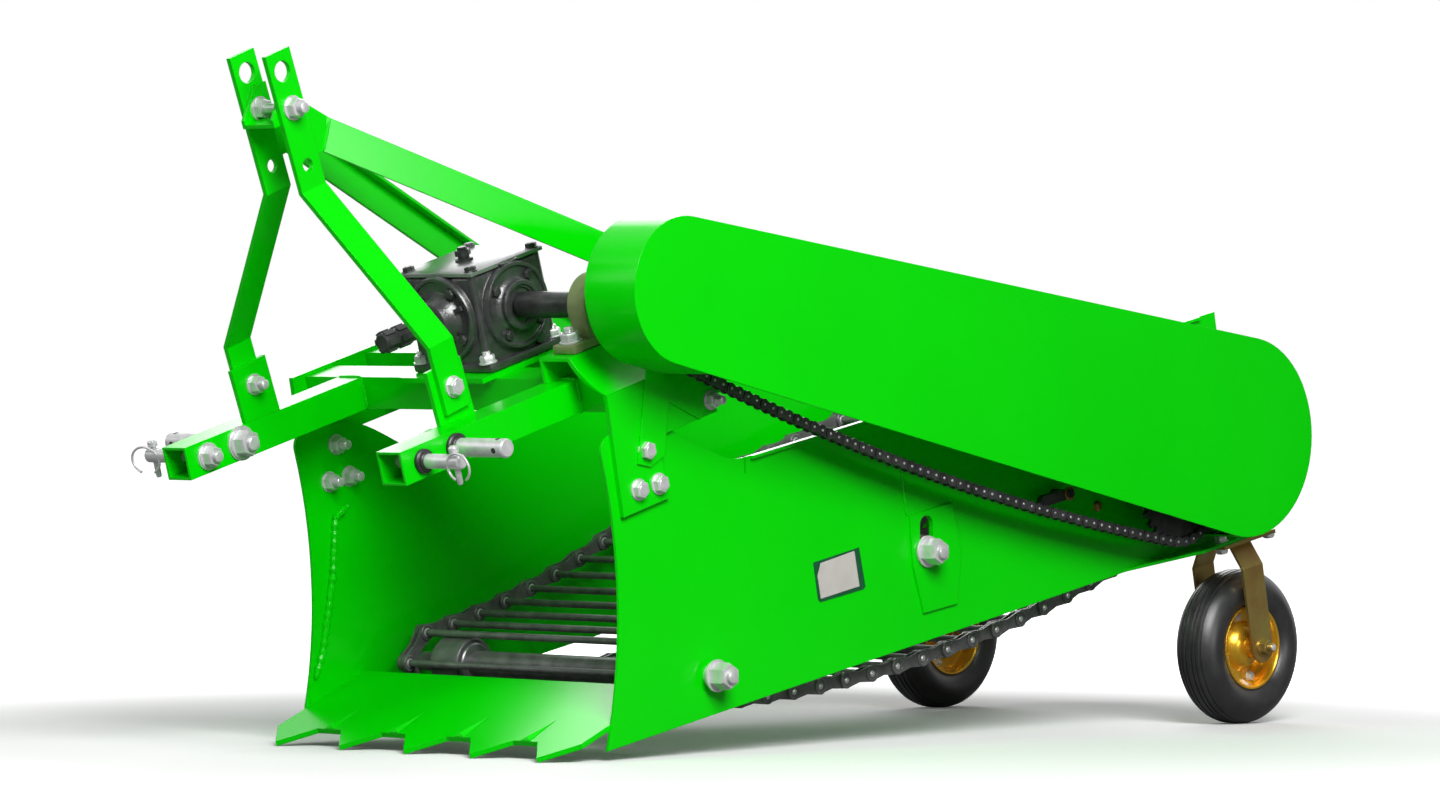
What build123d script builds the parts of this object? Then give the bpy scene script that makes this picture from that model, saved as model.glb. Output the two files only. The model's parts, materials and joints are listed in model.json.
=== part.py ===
"""Tractor-mounted single-row potato harvester with a rod-web elevator.

Millimetres. The machine is drawn with its centre plane at x = 0, the share's tooth tips on
the floor at y = 0 and the floor at z = 0. +X is the machine's left, the chain side, +Y is
rearward and +Z is up. At the end all pieces move together, so that the origin lies on the
floor under the middle of the whole machine. The machine stands as it parks, on its share
and its two rear wheels, with the hitch frame pitched nose down.
"""
from build123d import *
from math import asin, atan2, cos, hypot, pi, radians, sin
import os

# Body: two side plates joined by the share and the cross tubes
BODY_HALF_INNER = 325.0
SIDE_THICKNESS = 5.0
BELLY_START = (95.0, 15.0)
BELLY_ANGLE = 11.44
BAND_HEIGHT = 362.0
SIDE_REAR_Y = 1482.0
LOBE_REAR_Y = 384.0
LOBE_PEAK = (190.0, 489.0)
LIP_START_Y = 395.0
LIP_END_Y = 1440.0
LIP_WIDTH = 7.0
LIP_THICKNESS = 5.0
SLIT_DEPTH = 24.0
SLIT_WIDTH = 2.5
REAR_FLANGE_REACH = 53.0
REAR_FLANGE_START = 1192.0
REAR_FLANGE_WIDE = 1332.0
DOUBLER = (
    (748.0, 350.0),
    (757.0, 272.0),
    (782.0, 199.0),
    (860.0, 212.0),
    (868.0, 292.0),
    (846.0, 368.0),
)
DOUBLER_THICKNESS = 4.0
SLOT_RISE = 40.0
NOSE_Y = 79.0
NOSE_Z = 448.0
MOUTH_BULGE_Y = 117.0
MOUTH_BULGE_Z = 236.0
NOSE_RADIUS = 30.0

# Share
SHARE_ANGLE = 23.3
SHARE_LENGTH = 248.0
SHARE_THICKNESS = 8.0
TOOTH_COUNT = 5
TOOTH_PITCH = 140.0
TOOTH_BASE = 88.0
TOOTH_LENGTH = 50.0

# Hitch frame: its own axes are x, s rearward along the arms and t square to them
ARM_TIP_Y = -249.5
ARM_TIP_Z = 431.0
HITCH_PITCH = 16.2
ARM_CENTRE_X = 230.0
TUBE_SIZE = 50.0
TUBE_WALL = 4.0
CROSS_FRONT_S = 374.0
CROSS_DEPTH = 60.0
REAR_CROSS_S = 505.0
BRACKET_THICKNESS = 8.0
BRACKET_FRONT_TOP_S = 348.0
BRACKET_LOW_S = (333.0, 434.0)
BRACKET_LOW_T = -174.0
BRACKET_EAR_DEPTH = 80.0
BRACKET_RISE = 5.0
FRONT_PIN_S = 41.0
FRONT_PIN_RADIUS = 11.0
FRONT_PIN_REACH = 81.0
REAR_PIN_S = 110.0
REAR_PIN_RADIUS = 14.0
REAR_PIN_REACH = 106.0
PIN_COLLAR_LENGTH = 12.0
PIN_COLLAR_EXTRA = 5.0
PIN_NUT_LENGTH = 18.0

# Mast: its own axes are x, n across the bar and m up along it from the lug bolt
LUG_BOLT_Y = -117.5
LUG_BOLT_Z = 549.0
MAST_LEAN = 20.7
BAR_WIDTH = 50.0
BAR_THICKNESS = 8.0
MAST_GAP = 68.0
MAST_TOP_M = 518.0
TOP_HOLE_M = MAST_TOP_M - 30.0
TOP_HOLE_RADIUS = 15.5
MAST_BOLT_M = MAST_TOP_M - 86.0
LOWER_HOLE_M = MAST_TOP_M - 174.0
LOWER_HOLE_RADIUS = 9.75
UPPER_BEND_M = MAST_TOP_M - 212.0
LOWER_BEND_M = 66.0
BAR_FOOT_M = -36.0
LUG_WIDTH = 72.0
LUG_TOP_M = 34.0
BOLT_RADIUS = 8.0
BOLT_CLEARANCE = 0.05
SPACER_THICKNESS = 6.0
SPACER_REACH = 36.0
SPACER_LOW_M = MAST_TOP_M - 105.0
SPACER_HIGH_M = MAST_TOP_M - 51.0
SPACER_LIP = 12.0

# Stays from the mast to the side plates
STAY_SIZE = 50.0
STAY_FLANGE = 20.0
STAY_THICKNESS = 5.0
STAY_TOP_CORNER = (64.8, MAST_TOP_M - 123.9)
STAY_LOW_CORNER = (35.7, MAST_TOP_M - 165.5)
GUSSET_TOP_M = MAST_TOP_M - 86.3
STAY_LAP = 8.0
STAY_END_Y = 870.0
STAY_END_DROP = 11.0

# Gearbox and output shaft, in the hitch frame's axes
PLATE_THICKNESS = 8.0
GEARBOX_PLATE_HALF_X = 88.0
GEARBOX_PLATE_S = (345.0, 568.0)
GEARBOX_S = 452.0
GEARBOX_AXIS_T = 117.0
GEARBOX_SIZE_X = 148.0
GEARBOX_SIZE_S = 149.0
GEARBOX_HEIGHT = 148.0
GEARBOX_CORNER = 8.0
LID_THICKNESS = 9.0
LID_LIP = 3.0
FOOT_HEIGHT = 14.0
FOOT_SPREAD = 168.0
FOOT_LIP = 6.0
FLANGE_RADIUS = 69.0
FLANGE_THICKNESS = 12.0
COLLAR_RADIUS = 38.0
COLLAR_LENGTH = 8.0
NECK_RADIUS = 32.0
NECK_LENGTH = 34.0
PTO_RADIUS = 17.5
PTO_REACH = 210.0
PTO_SPLINE_LENGTH = 52.0
SPLINE_ROOT_RADIUS = 14.6
SPLINE_WIDTH = 8.7
SPLINE_COUNT = 6
PTO_GROOVE = (22.0, 29.0)
SHAFT_RADIUS = 20.0
BEARING_X = 250.0
BEARING_WIDTH = 46.0
BEARING_RING_WIDTH = 36.0
BEARING_RADIUS = 49.0
BEARING_HEIGHT = 52.0
BEARING_BASE_LENGTH = 175.0
BEARING_BASE_HEIGHT = 14.0
SHELF_X = (212.0, 276.0)
SHELF_THICKNESS = 6.0
SHELF_FOOT_T = 8.0
SHELF_SWEEP = 15.0

# Drive chain, its sprockets and its guard
CHAIN_OFFSET = 55.0
CHAIN_WIDTH = 18.0
CHAIN_PITCH = 19.05
CHAIN_HALF_HEIGHT = 9.0
CHAIN_WAIST = 6.0
CHAIN_SAG = 33.0
SMALL_TEETH = 23
LARGE_TEETH = 30
SPROCKET_WIDTH = 8.0
GUARD_OFFSET = 110.0
GUARD_SHEET = 3.0
GUARD_FRONT = (144.0, 690.0)
GUARD_FRONT_RADIUS = 109.0
GUARD_REAR = (1437.0, 465.0)
GUARD_REAR_RADIUS = 159.0
GUARD_OPEN_Y = (194.0, 1430.0)
GUARD_REST_Y = 1200.0
GUARD_REST_SIZE = (60.0, 40.0)
GUARD_TAB = ((188.0, 535.0), (277.0, 500.0), (333.0, 556.0))
GUARD_SHAFT_GAP = 8.0
GUARD_STRAP = (
    (452.0, 60.0),
    (380.0, -106.0),
    (405.0, -118.0),
    (438.0, -110.0),
    (505.0, 60.0),
)

# Rod web, its rollers and its drive wheels
FRONT_ROLLER = (314.0, 119.0)
SUPPORT_ROLLER = (787.0, 294.0)
REAR_SHAFT = (1325.0, 390.0)
ROD_PITCH = 60.0
ROD_RADIUS = 5.5
ROD_SIDES = 6
WEB_FRONT_RADIUS = 45.5
WEB_TEETH = 12
WEB_FRONT_SAG = 20.0
WEB_LOWER_SAG = 50.0
WEB_CHAIN_GAP = 41.0
WEB_CHAIN_WIDTH = 14.0
WEB_LINK_HALF = 13.0
WEB_LINK_WAIST = 8.0
DRUM_LENGTH = 60.0
DRUM_SIDE_GAP = 93.0
DRUM_HUB_RADIUS = 32.0
DRUM_HUB_STEP = 3.0
ROLLER_TUBE_RADIUS = 20.0
ROLLER_AXLE_RADIUS = 15.0
ROLLER_HEAD_RADIUS = 24.0
ROLLER_HEAD_LENGTH = 20.0
ROLLER_END = 6.0
WEB_WHEEL_GAP = 81.0
WEB_WHEEL_WIDTH = 16.0
DRIVE_SHAFT_RADIUS = 17.5
SEAT_GAP = 0.3
SHAFT_END = 6.0
FREE_SHAFT_END = 40.0

# Rear cross tube
REAR_TUBE_SIZE = 40.0
REAR_TUBE_Y = 1522.0

# Wheels
WHEEL_INSET = 6.0
AXLE_Y = 1551.0
TYRE_RADIUS = 125.0
TYRE_WIDTH = 84.0
TYRE_BEAD_INSET = 18.0
TYRE_FACETS = 12
TYRE_SQUARENESS = 0.8
RIM_RADIUS = 70.0
RIM_DISC = 4.0
HUB_RADIUS = 26.0
HUB_LENGTH = 88.0
AXLE_RADIUS = 8.0
RUNNING_CLEARANCE = 0.05
FORK_LEG_X = 48.5
FORK_THICKNESS = 5.0
FORK_WIDTH = 50.0
FORK_TOP_X = 26.0
FORK_BEND_DROP = 48.0
FORK_PLATE_SIZE = (110.0, 130.0)
FORK_PLATE_THICKNESS = 6.0
AXLE_HEAD_RADIUS = 12.0
AXLE_HEAD_LENGTH = 12.0

MIDDLE = (Align.CENTER, Align.CENTER, Align.CENTER)
SIDES = {"left": 1, "right": -1}
LOOP_STEPS = 12


def rise(angle):
    """Slope of a line that climbs at the angle in degrees."""
    return sin(radians(angle)) / cos(radians(angle))


def block(x, y, z):
    """Box between the low and high value given for each axis."""
    size = [abs(pair[1] - pair[0]) for pair in (x, y, z)]
    centre = [(pair[1] + pair[0]) / 2 for pair in (x, y, z)]
    return Pos(*centre) * Box(*size, align=MIDDLE)


def rod(radius, x, point):
    """Cylinder along X between two x values, with its axis at point (y, z)."""
    place = Pos((x[0] + x[1]) / 2, *point) * Rot(0, 90, 0)
    return place * Cylinder(radius, abs(x[1] - x[0]), align=MIDDLE)


def hexagon(radius, x, point):
    """Hexagonal bar along X between two x values."""
    sketch = Pos(*point) * RegularPolygon(radius, 6)
    return sheet(sketch, x)


def sheet(sketch, x):
    """Sketch drawn in (y, z), extruded between two x values."""
    return extrude(Plane.YZ.offset(min(x)) * sketch, amount=abs(x[1] - x[0]), dir=(1, 0, 0))


def slab(sketch, y):
    """Sketch drawn in (x, z), extruded between two y values."""
    return extrude(Plane.XZ.offset(-min(y)) * sketch, amount=abs(y[1] - y[0]), dir=(0, 1, 0))


def mirrored(part, side):
    """Piece drawn on the left, or its mirror image on the right."""
    return part if side > 0 else mirror(part, about=Plane.YZ)


def on_circle(centre, radius, turn):
    """Point (y, z) of a circle at an angle from +Y."""
    return (centre[0] + radius * cos(turn), centre[1] + radius * sin(turn))


def tapered(front, front_radius, rear, rear_radius):
    """Outline in (y, z) that wraps two circles: two tangent lines and two arcs."""
    y = rear[0] - front[0]
    z = rear[1] - front[1]
    line = atan2(z, y)
    lean = asin((rear_radius - front_radius) / hypot(y, z))
    upper = line + pi / 2 + lean
    lower = line - pi / 2 - lean

    corners = {
        "front_low": on_circle(front, front_radius, lower),
        "rear_low": on_circle(rear, rear_radius, lower),
        "rear_top": on_circle(rear, rear_radius, upper),
        "front_top": on_circle(front, front_radius, upper),
    }
    nose = on_circle(front, front_radius, line + pi)
    tail = on_circle(rear, rear_radius, line)
    edges = [
        Line(corners["front_low"], corners["rear_low"]),
        ThreePointArc(corners["rear_low"], tail, corners["rear_top"]),
        Line(corners["rear_top"], corners["front_top"]),
        ThreePointArc(corners["front_top"], nose, corners["front_low"]),
    ]
    return make_face(Wire(edges))


def span(front, rear, sag, hand):
    """Ends, slope and end droop of a strand above (hand 1) or below (-1) two wheels.

    A wheel is its centre and radius. The strand hangs below its chord by the sag, so at
    each end its slope differs from the chord's by the droop.
    """
    slope = atan2(rear[0][1] - front[0][1], rear[0][0] - front[0][0])
    droop = 0.0
    for _ in range(LOOP_STEPS):
        start = on_circle(*front, slope - droop + hand * pi / 2)
        end = on_circle(*rear, slope + droop + hand * pi / 2)
        slope = atan2(end[1] - start[1], end[0] - start[0])
        droop = atan2(4 * sag, hypot(end[0] - start[0], end[1] - start[1]))
    return start, end, slope, droop


def strand(start, end, sag, hand):
    """Length of a hanging strand, and its point at each way along it."""
    chord = hypot(end[0] - start[0], end[1] - start[1])
    along = ((end[0] - start[0]) / chord, (end[1] - start[1]) / chord)
    length = chord + 8 * sag**2 / (3 * chord)

    def point(way):
        share = way / length
        drop = 4 * sag * share * (1 - share) * hand
        return (
            start[0] + share * chord * along[0] + drop * along[1],
            start[1] + share * chord * along[1] - drop * along[0],
        )

    return length, point


def wrap(wheel, start, end):
    """Length of the clockwise arc on a wheel between two angles, and its points."""
    centre, radius = wheel

    def point(way):
        return on_circle(centre, radius, start - way / radius)

    return radius * (start - end), point


def loop_pieces(wheels, sags):
    """Upper strands, arcs and lower strand of a loop round wheels given front to rear."""
    upper = [span(one, two, sag, 1) for one, two, sag in zip(wheels, wheels[1:], sags)]
    start, end, slope, droop = span(wheels[0], wheels[-1], sags[-1], -1)
    leaving = [run[2] - run[3] + pi / 2 for run in upper] + [slope + droop - pi / 2]
    pieces = []
    for index, run in enumerate(upper):
        pieces.append(strand(run[0], run[1], sags[index], 1))
        pieces.append(wrap(wheels[index + 1], run[2] + run[3] + pi / 2, leaving[index + 1]))
    pieces.append(strand(end, start, sags[-1], -1))
    pieces.append(wrap(wheels[0], slope - droop - pi / 2, leaving[0] - 2 * pi))
    return pieces


def point_on(pieces, way):
    """Point of the loop at a way along it, which may run past its start."""
    for length, point in pieces:
        if way < length:
            return point(way)
        way -= length
    return pieces[0][1](way)


def link_ways(pieces, pitch, count):
    """Ways along the loop at which equal straight links meet."""
    ways = [0.0]
    for _ in range(count):
        start = point_on(pieces, ways[-1])
        way = ways[-1] + pitch
        for _ in range(LOOP_STEPS):
            end = point_on(pieces, way)
            way += pitch - hypot(end[0] - start[0], end[1] - start[1])
        ways.append(way)
    return ways


def wheel_radius(teeth, pitch):
    """Pitch radius of a chain wheel."""
    return pitch / (2 * sin(pi / teeth))


def fit_loop(wheels_at, sags, pitch):
    """Exact pitch and joints of a loop of equal links that closes on its wheels."""
    pieces = loop_pieces(wheels_at(pitch), sags)
    count = 2 * round(sum(length for length, point in pieces) / pitch / 2)
    for _ in range(LOOP_STEPS):
        pieces = loop_pieces(wheels_at(pitch), sags)
        ways = link_ways(pieces, pitch, count)
        pitch *= sum(length for length, point in pieces) / ways[-1]
    return pitch, [point_on(pieces, way) for way in ways[:-1]]


def link_band(points, half, waist, x):
    """Closed chain band whose links are half wide at the pins and waist wide between them."""
    outer = []
    inner = []
    count = len(points)
    for index, point in enumerate(points):
        after = points[(index + 1) % count]
        before = points[index - 1]
        middle = ((point[0] + after[0]) / 2, (point[1] + after[1]) / 2)
        for base, start, end, reach in ((point, before, after, half), (middle, point, after, waist)):
            along = hypot(end[0] - start[0], end[1] - start[1])
            out = (-(end[1] - start[1]) / along, (end[0] - start[0]) / along)
            outer.append((base[0] + reach * out[0], base[1] + reach * out[1]))
            inner.append((base[0] - reach * out[0], base[1] - reach * out[1]))
    ring = Polygon(*outer, align=None) - Polygon(*inner, align=None)
    return sheet(ring, x)


# Frames and places that follow from the sizes above
HITCH = Plane(
    origin=(0, ARM_TIP_Y, ARM_TIP_Z),
    x_dir=(1, 0, 0),
    z_dir=(0, -sin(radians(HITCH_PITCH)), cos(radians(HITCH_PITCH))),
)
MAST = Plane(
    origin=(0, LUG_BOLT_Y, LUG_BOLT_Z),
    x_dir=(1, 0, 0),
    z_dir=(0, -sin(radians(MAST_LEAN)), cos(radians(MAST_LEAN))),
)


def hitch_point(s, t):
    """Point (y, z) of the hitch frame's s and t."""
    place = HITCH.from_local_coords(Vector(0, s, t))
    return (place.Y, place.Z)


def mast_point(n, m):
    """Point (y, z) of the mast's n and m."""
    place = MAST.from_local_coords(Vector(0, n, m))
    return (place.Y, place.Z)


def belly_z(y):
    """Height of the side plates' lower edge."""
    return BELLY_START[1] + (y - BELLY_START[0]) * rise(BELLY_ANGLE)


def top_z(y):
    """Height of the side plates' rear upper edge."""
    return belly_z(y) + BAND_HEIGHT / cos(radians(BELLY_ANGLE))


BODY_HALF = BODY_HALF_INNER + SIDE_THICKNESS
GUARD_BACK_X = BODY_HALF + BRACKET_THICKNESS + GUARD_SHEET
OUTPUT_AXIS = hitch_point(GEARBOX_S, GEARBOX_AXIS_T)
CROSS_TOP_T = TUBE_SIZE / 2
CHAIN_X = BODY_HALF + CHAIN_OFFSET
GUARD_FACE_X = BODY_HALF + GUARD_OFFSET
WHEEL_X = BODY_HALF - WHEEL_INSET
WEB_CHAIN_OUTER_X = BODY_HALF_INNER - WEB_CHAIN_GAP
WEB_CHAIN_INNER_X = WEB_CHAIN_OUTER_X - WEB_CHAIN_WIDTH
WEB_WHEEL_OUTER_X = BODY_HALF_INNER - WEB_WHEEL_GAP
DRUM_OUTER_X = BODY_HALF_INNER - DRUM_SIDE_GAP
DRUM_RADIUS = WEB_FRONT_RADIUS - ROD_RADIUS - SEAT_GAP
WEB_STEP, WEB_POINTS = fit_loop(
    lambda pitch: [
        (FRONT_ROLLER, WEB_FRONT_RADIUS),
        (SUPPORT_ROLLER, WEB_FRONT_RADIUS),
        (REAR_SHAFT, wheel_radius(WEB_TEETH, pitch)),
    ],
    (WEB_FRONT_SAG, 0.0, WEB_LOWER_SAG),
    ROD_PITCH,
)
WEB_REAR_RADIUS = wheel_radius(WEB_TEETH, WEB_STEP)
CHAIN_STEP, CHAIN_POINTS = fit_loop(
    lambda pitch: [
        (OUTPUT_AXIS, wheel_radius(SMALL_TEETH, pitch)),
        (REAR_SHAFT, wheel_radius(LARGE_TEETH, pitch)),
    ],
    (0.0, CHAIN_SAG),
    CHAIN_PITCH,
)
SMALL_RADIUS = wheel_radius(SMALL_TEETH, CHAIN_STEP)
LARGE_RADIUS = wheel_radius(LARGE_TEETH, CHAIN_STEP)


def side_outline():
    """Outline of a side plate in (y, z), without its holes."""
    belly = (cos(radians(BELLY_ANGLE)), sin(radians(BELLY_ANGLE)))
    rear_top = (SIDE_REAR_Y, top_z(SIDE_REAR_Y))
    rear_low = (
        rear_top[0] + BAND_HEIGHT * belly[1],
        rear_top[1] - BAND_HEIGHT * belly[0],
    )
    lobe_end = (LOBE_REAR_Y, top_z(LOBE_REAR_Y))
    nose_end = (NOSE_Y + NOSE_RADIUS, NOSE_Z + NOSE_RADIUS)
    mouth = ThreePointArc(BELLY_START, (MOUTH_BULGE_Y, MOUTH_BULGE_Z), (NOSE_Y, NOSE_Z))
    before = (nose_end[0] + LOBE_PEAK[0]) / 2
    run = (lobe_end[0] - LOBE_PEAK[0]) / 3
    fall = (lobe_end[0] - run, top_z(lobe_end[0] - run))
    edges = [
        mouth,
        TangentArc((NOSE_Y, NOSE_Z), nose_end, tangent=(-0.2, 1)),
        Bezier(nose_end, (before, LOBE_PEAK[1]), LOBE_PEAK),
        Bezier(LOBE_PEAK, (LOBE_PEAK[0] + run, LOBE_PEAK[1]), fall, lobe_end),
        Line(lobe_end, rear_top),
        Line(rear_top, rear_low),
        Line(rear_low, BELLY_START),
    ]
    return make_face(Wire(edges))


def lip():
    """Folded lip outside the rear upper edge of the left side plate."""
    corners = [(LIP_START_Y, top_z(LIP_START_Y)), (LIP_END_Y, top_z(LIP_END_Y))]
    corners += [(y, z - LIP_THICKNESS) for y, z in reversed(corners)]
    return sheet(Polygon(*corners, align=None), (BODY_HALF, BODY_HALF + LIP_WIDTH))


def rear_flange():
    """Flange outside the left side plate's lower edge, to which the wheel fork is bolted."""
    rear = (SIDE_REAR_Y - BELLY_START[0]) / cos(radians(BELLY_ANGLE)) + BAND_HEIGHT * rise(BELLY_ANGLE)
    outer = BODY_HALF_INNER + REAR_FLANGE_REACH
    points = [
        (BODY_HALF, REAR_FLANGE_START),
        (outer, REAR_FLANGE_WIDE),
        (outer, rear),
        (BODY_HALF, rear),
    ]
    belly = Plane(
        origin=(0, *BELLY_START),
        x_dir=(1, 0, 0),
        z_dir=(0, -sin(radians(BELLY_ANGLE)), cos(radians(BELLY_ANGLE))),
    )
    return extrude(belly * Polygon(*points, align=None), amount=SIDE_THICKNESS)


def side_plate(side):
    """One side plate with its holes, lip, rear flange and slotted doubler."""
    outline = side_outline()
    plate = sheet(outline, (BODY_HALF_INNER, BODY_HALF)) + lip() + rear_flange()
    plate += sheet(Polygon(*DOUBLER, align=None), (BODY_HALF, BODY_HALF + DOUBLER_THICKNESS))
    x = (BODY_HALF_INNER, BODY_HALF + DOUBLER_THICKNESS)
    for centre, radius in (
        (FRONT_ROLLER, ROLLER_AXLE_RADIUS),
        (SUPPORT_ROLLER, ROLLER_AXLE_RADIUS),
        (REAR_SHAFT, DRIVE_SHAFT_RADIUS),
    ):
        plate -= rod(radius + SEAT_GAP, x, centre)
    half = ROLLER_AXLE_RADIUS + SEAT_GAP
    y = (SUPPORT_ROLLER[0] - half, SUPPORT_ROLLER[0] + half)
    top = (SUPPORT_ROLLER[0], SUPPORT_ROLLER[1] + SLOT_RISE)
    plate -= block(x, y, (SUPPORT_ROLLER[1], top[1]))
    plate -= rod(half, x, top)
    slit = (LOBE_REAR_Y, LOBE_REAR_Y + SLIT_WIDTH)
    plate -= block(x, slit, (top_z(LOBE_REAR_Y) - SLIT_DEPTH, top_z(LOBE_REAR_Y) + SLIT_WIDTH))
    return mirrored(plate, side)


def share():
    """Toothed digging share, its underside through the tooth tips."""
    half = BODY_HALF_INNER
    points = [(-half, SHARE_LENGTH), (-half, TOOTH_LENGTH)]
    for index in range(TOOTH_COUNT):
        centre = (index - (TOOTH_COUNT - 1) / 2) * TOOTH_PITCH
        points.append((centre - TOOTH_BASE / 2, TOOTH_LENGTH))
        points.append((centre, 0))
        points.append((centre + TOOTH_BASE / 2, TOOTH_LENGTH))
    points += [(half, TOOTH_LENGTH), (half, SHARE_LENGTH)]
    plane = Plane(
        origin=(0, 0, 0),
        x_dir=(1, 0, 0),
        z_dir=(0, -sin(radians(SHARE_ANGLE)), cos(radians(SHARE_ANGLE))),
    )
    return extrude(plane * Polygon(*points, align=None), amount=SHARE_THICKNESS)


def square_tube(x, s, t, wall, along):
    """Square tube in any frame, open along the named axis."""
    outer = block(x, s, t)
    inner = []
    for name, pair in (("x", x), ("s", s), ("t", t)):
        shrink = 0 if name == along else -wall
        inner.append((pair[0] - shrink, pair[1] + shrink))
    return outer - block(*inner)


def hitch_arm(side):
    """Lower link arm, a square tube open at its front end, bored for both hitch pins."""
    low = ARM_CENTRE_X - TUBE_SIZE / 2
    x = (low, low + TUBE_SIZE)
    half = TUBE_SIZE / 2
    arm = square_tube(x, (0, CROSS_FRONT_S), (-half, half), TUBE_WALL, "s")
    for s, radius in ((FRONT_PIN_S, FRONT_PIN_RADIUS), (REAR_PIN_S, REAR_PIN_RADIUS)):
        arm -= rod(radius + BOLT_CLEARANCE, x, (s, 0))
    return mirrored(HITCH * arm, side)


def cross_tube(s):
    """Cross tube between the brackets, its left end cut to the bearing shelf."""
    half = TUBE_SIZE / 2
    x = (-BODY_HALF, BODY_HALF)
    tube = square_tube(x, (s, s + CROSS_DEPTH), (-half, half), TUBE_WALL, "x")
    low, high = shelf_curves()
    edges = [
        low,
        Line(low @ 1, (low @ 1) + Vector(0, BEARING_HEIGHT)),
        Line((low @ 1) + Vector(0, BEARING_HEIGHT), (low @ 0) + Vector(BEARING_HEIGHT, 2 * BEARING_HEIGHT)),
        Line((low @ 0) + Vector(BEARING_HEIGHT, 2 * BEARING_HEIGHT), low @ 0),
    ]
    return HITCH * (tube - slab(make_face(Wire(edges)), (s, s + CROSS_DEPTH)))


def bracket(side):
    """Bolted plate that carries the cross tubes on a side plate."""
    rear = REAR_CROSS_S + CROSS_DEPTH
    top = SHELF_FOOT_T if side > 0 else CROSS_TOP_T + BRACKET_RISE
    points = [
        (BRACKET_LOW_S[0], BRACKET_LOW_T),
        (BRACKET_LOW_S[1], BRACKET_LOW_T),
        (BRACKET_LOW_S[1], -BRACKET_EAR_DEPTH),
        (rear, -BRACKET_EAR_DEPTH),
        (rear, top),
        (BRACKET_FRONT_TOP_S, top),
    ]
    x = (BODY_HALF, BODY_HALF + BRACKET_THICKNESS)
    return mirrored(HITCH * sheet(Polygon(*points, align=None), x), side)


def hitch_pin(side, s, radius, reach):
    """Lower hitch pin through the arm, with a collar outside and a nut inside."""
    inner = ARM_CENTRE_X - TUBE_SIZE / 2
    outer = ARM_CENTRE_X + TUBE_SIZE / 2
    pin = rod(radius, (inner - PIN_NUT_LENGTH - 4, outer + reach), (s, 0))
    pin += rod(radius + PIN_COLLAR_EXTRA, (outer, outer + PIN_COLLAR_LENGTH), (s, 0))
    pin += hexagon(radius * 1.7, (inner - PIN_NUT_LENGTH, inner), (s, 0))
    return mirrored(HITCH * pin, side)


def mast_bar(side):
    """Bent flat bar of the mast, with the top-link holes."""
    top_x = MAST_GAP / 2
    foot_x = ARM_CENTRE_X - TUBE_SIZE / 2 + BAR_THICKNESS
    inner = [(foot_x, BAR_FOOT_M), (foot_x, LOWER_BEND_M), (top_x, UPPER_BEND_M), (top_x, MAST_TOP_M)]
    spread = atan2(foot_x - top_x, UPPER_BEND_M - LOWER_BEND_M)
    lift = BAR_THICKNESS * (1 / cos(spread) - 1) / (sin(spread) / cos(spread))
    outer = [
        (top_x + BAR_THICKNESS, MAST_TOP_M),
        (top_x + BAR_THICKNESS, UPPER_BEND_M + lift),
        (foot_x + BAR_THICKNESS, LOWER_BEND_M + lift),
        (foot_x + BAR_THICKNESS, BAR_FOOT_M),
    ]
    bar = slab(Polygon(*inner, *outer, align=None), (-BAR_WIDTH / 2, BAR_WIDTH / 2))
    top = (top_x, top_x + BAR_THICKNESS)
    foot = (foot_x, foot_x + BAR_THICKNESS)
    for m, radius, x in (
        (TOP_HOLE_M, TOP_HOLE_RADIUS, top),
        (LOWER_HOLE_M, LOWER_HOLE_RADIUS, top),
        (MAST_BOLT_M, BOLT_RADIUS + BOLT_CLEARANCE, top),
        (0, BOLT_RADIUS + BOLT_CLEARANCE, foot),
    ):
        bar -= rod(radius, x, (0, m))
    return mirrored(MAST * bar, side)


def mast_lug(side):
    """Lug plate welded on the arm, to which the mast bar is bolted."""
    x = ARM_CENTRE_X - TUBE_SIZE / 2
    half = LUG_WIDTH / 2
    lug = block((x, x + BAR_THICKNESS), (-half, half), (2 * BAR_FOOT_M, LUG_TOP_M))
    lug -= rod(BOLT_RADIUS + BOLT_CLEARANCE, (x, x + BAR_THICKNESS), (0, 0))
    lug = MAST * lug
    arm_top = HITCH * block((0, 2 * x), (-500, 500), (-500, TUBE_SIZE / 2))
    return mirrored(lug - arm_top, side)


def lug_bolt(side):
    """Bolt that holds a mast bar to its lug."""
    x = ARM_CENTRE_X - TUBE_SIZE / 2
    outer = x + 2 * BAR_THICKNESS
    bolt = rod(BOLT_RADIUS, (x - 22, outer), (0, 0))
    bolt += hexagon(BOLT_RADIUS * 1.7, (outer, outer + BOLT_RADIUS), (0, 0))
    bolt += hexagon(BOLT_RADIUS * 1.7, (x - 14, x), (0, 0))
    return mirrored(MAST * bolt, side)


def mast_bolt():
    """Cross bolt that ties the two mast bars and the spacer."""
    outer = MAST_GAP / 2 + BAR_THICKNESS
    bolt = rod(BOLT_RADIUS, (-outer, outer + 26), (0, MAST_BOLT_M))
    bolt += hexagon(BOLT_RADIUS * 1.7, (-outer - BOLT_RADIUS, -outer), (0, MAST_BOLT_M))
    bolt += hexagon(BOLT_RADIUS * 1.7, (outer, outer + 14), (0, MAST_BOLT_M))
    return MAST * bolt


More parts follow.
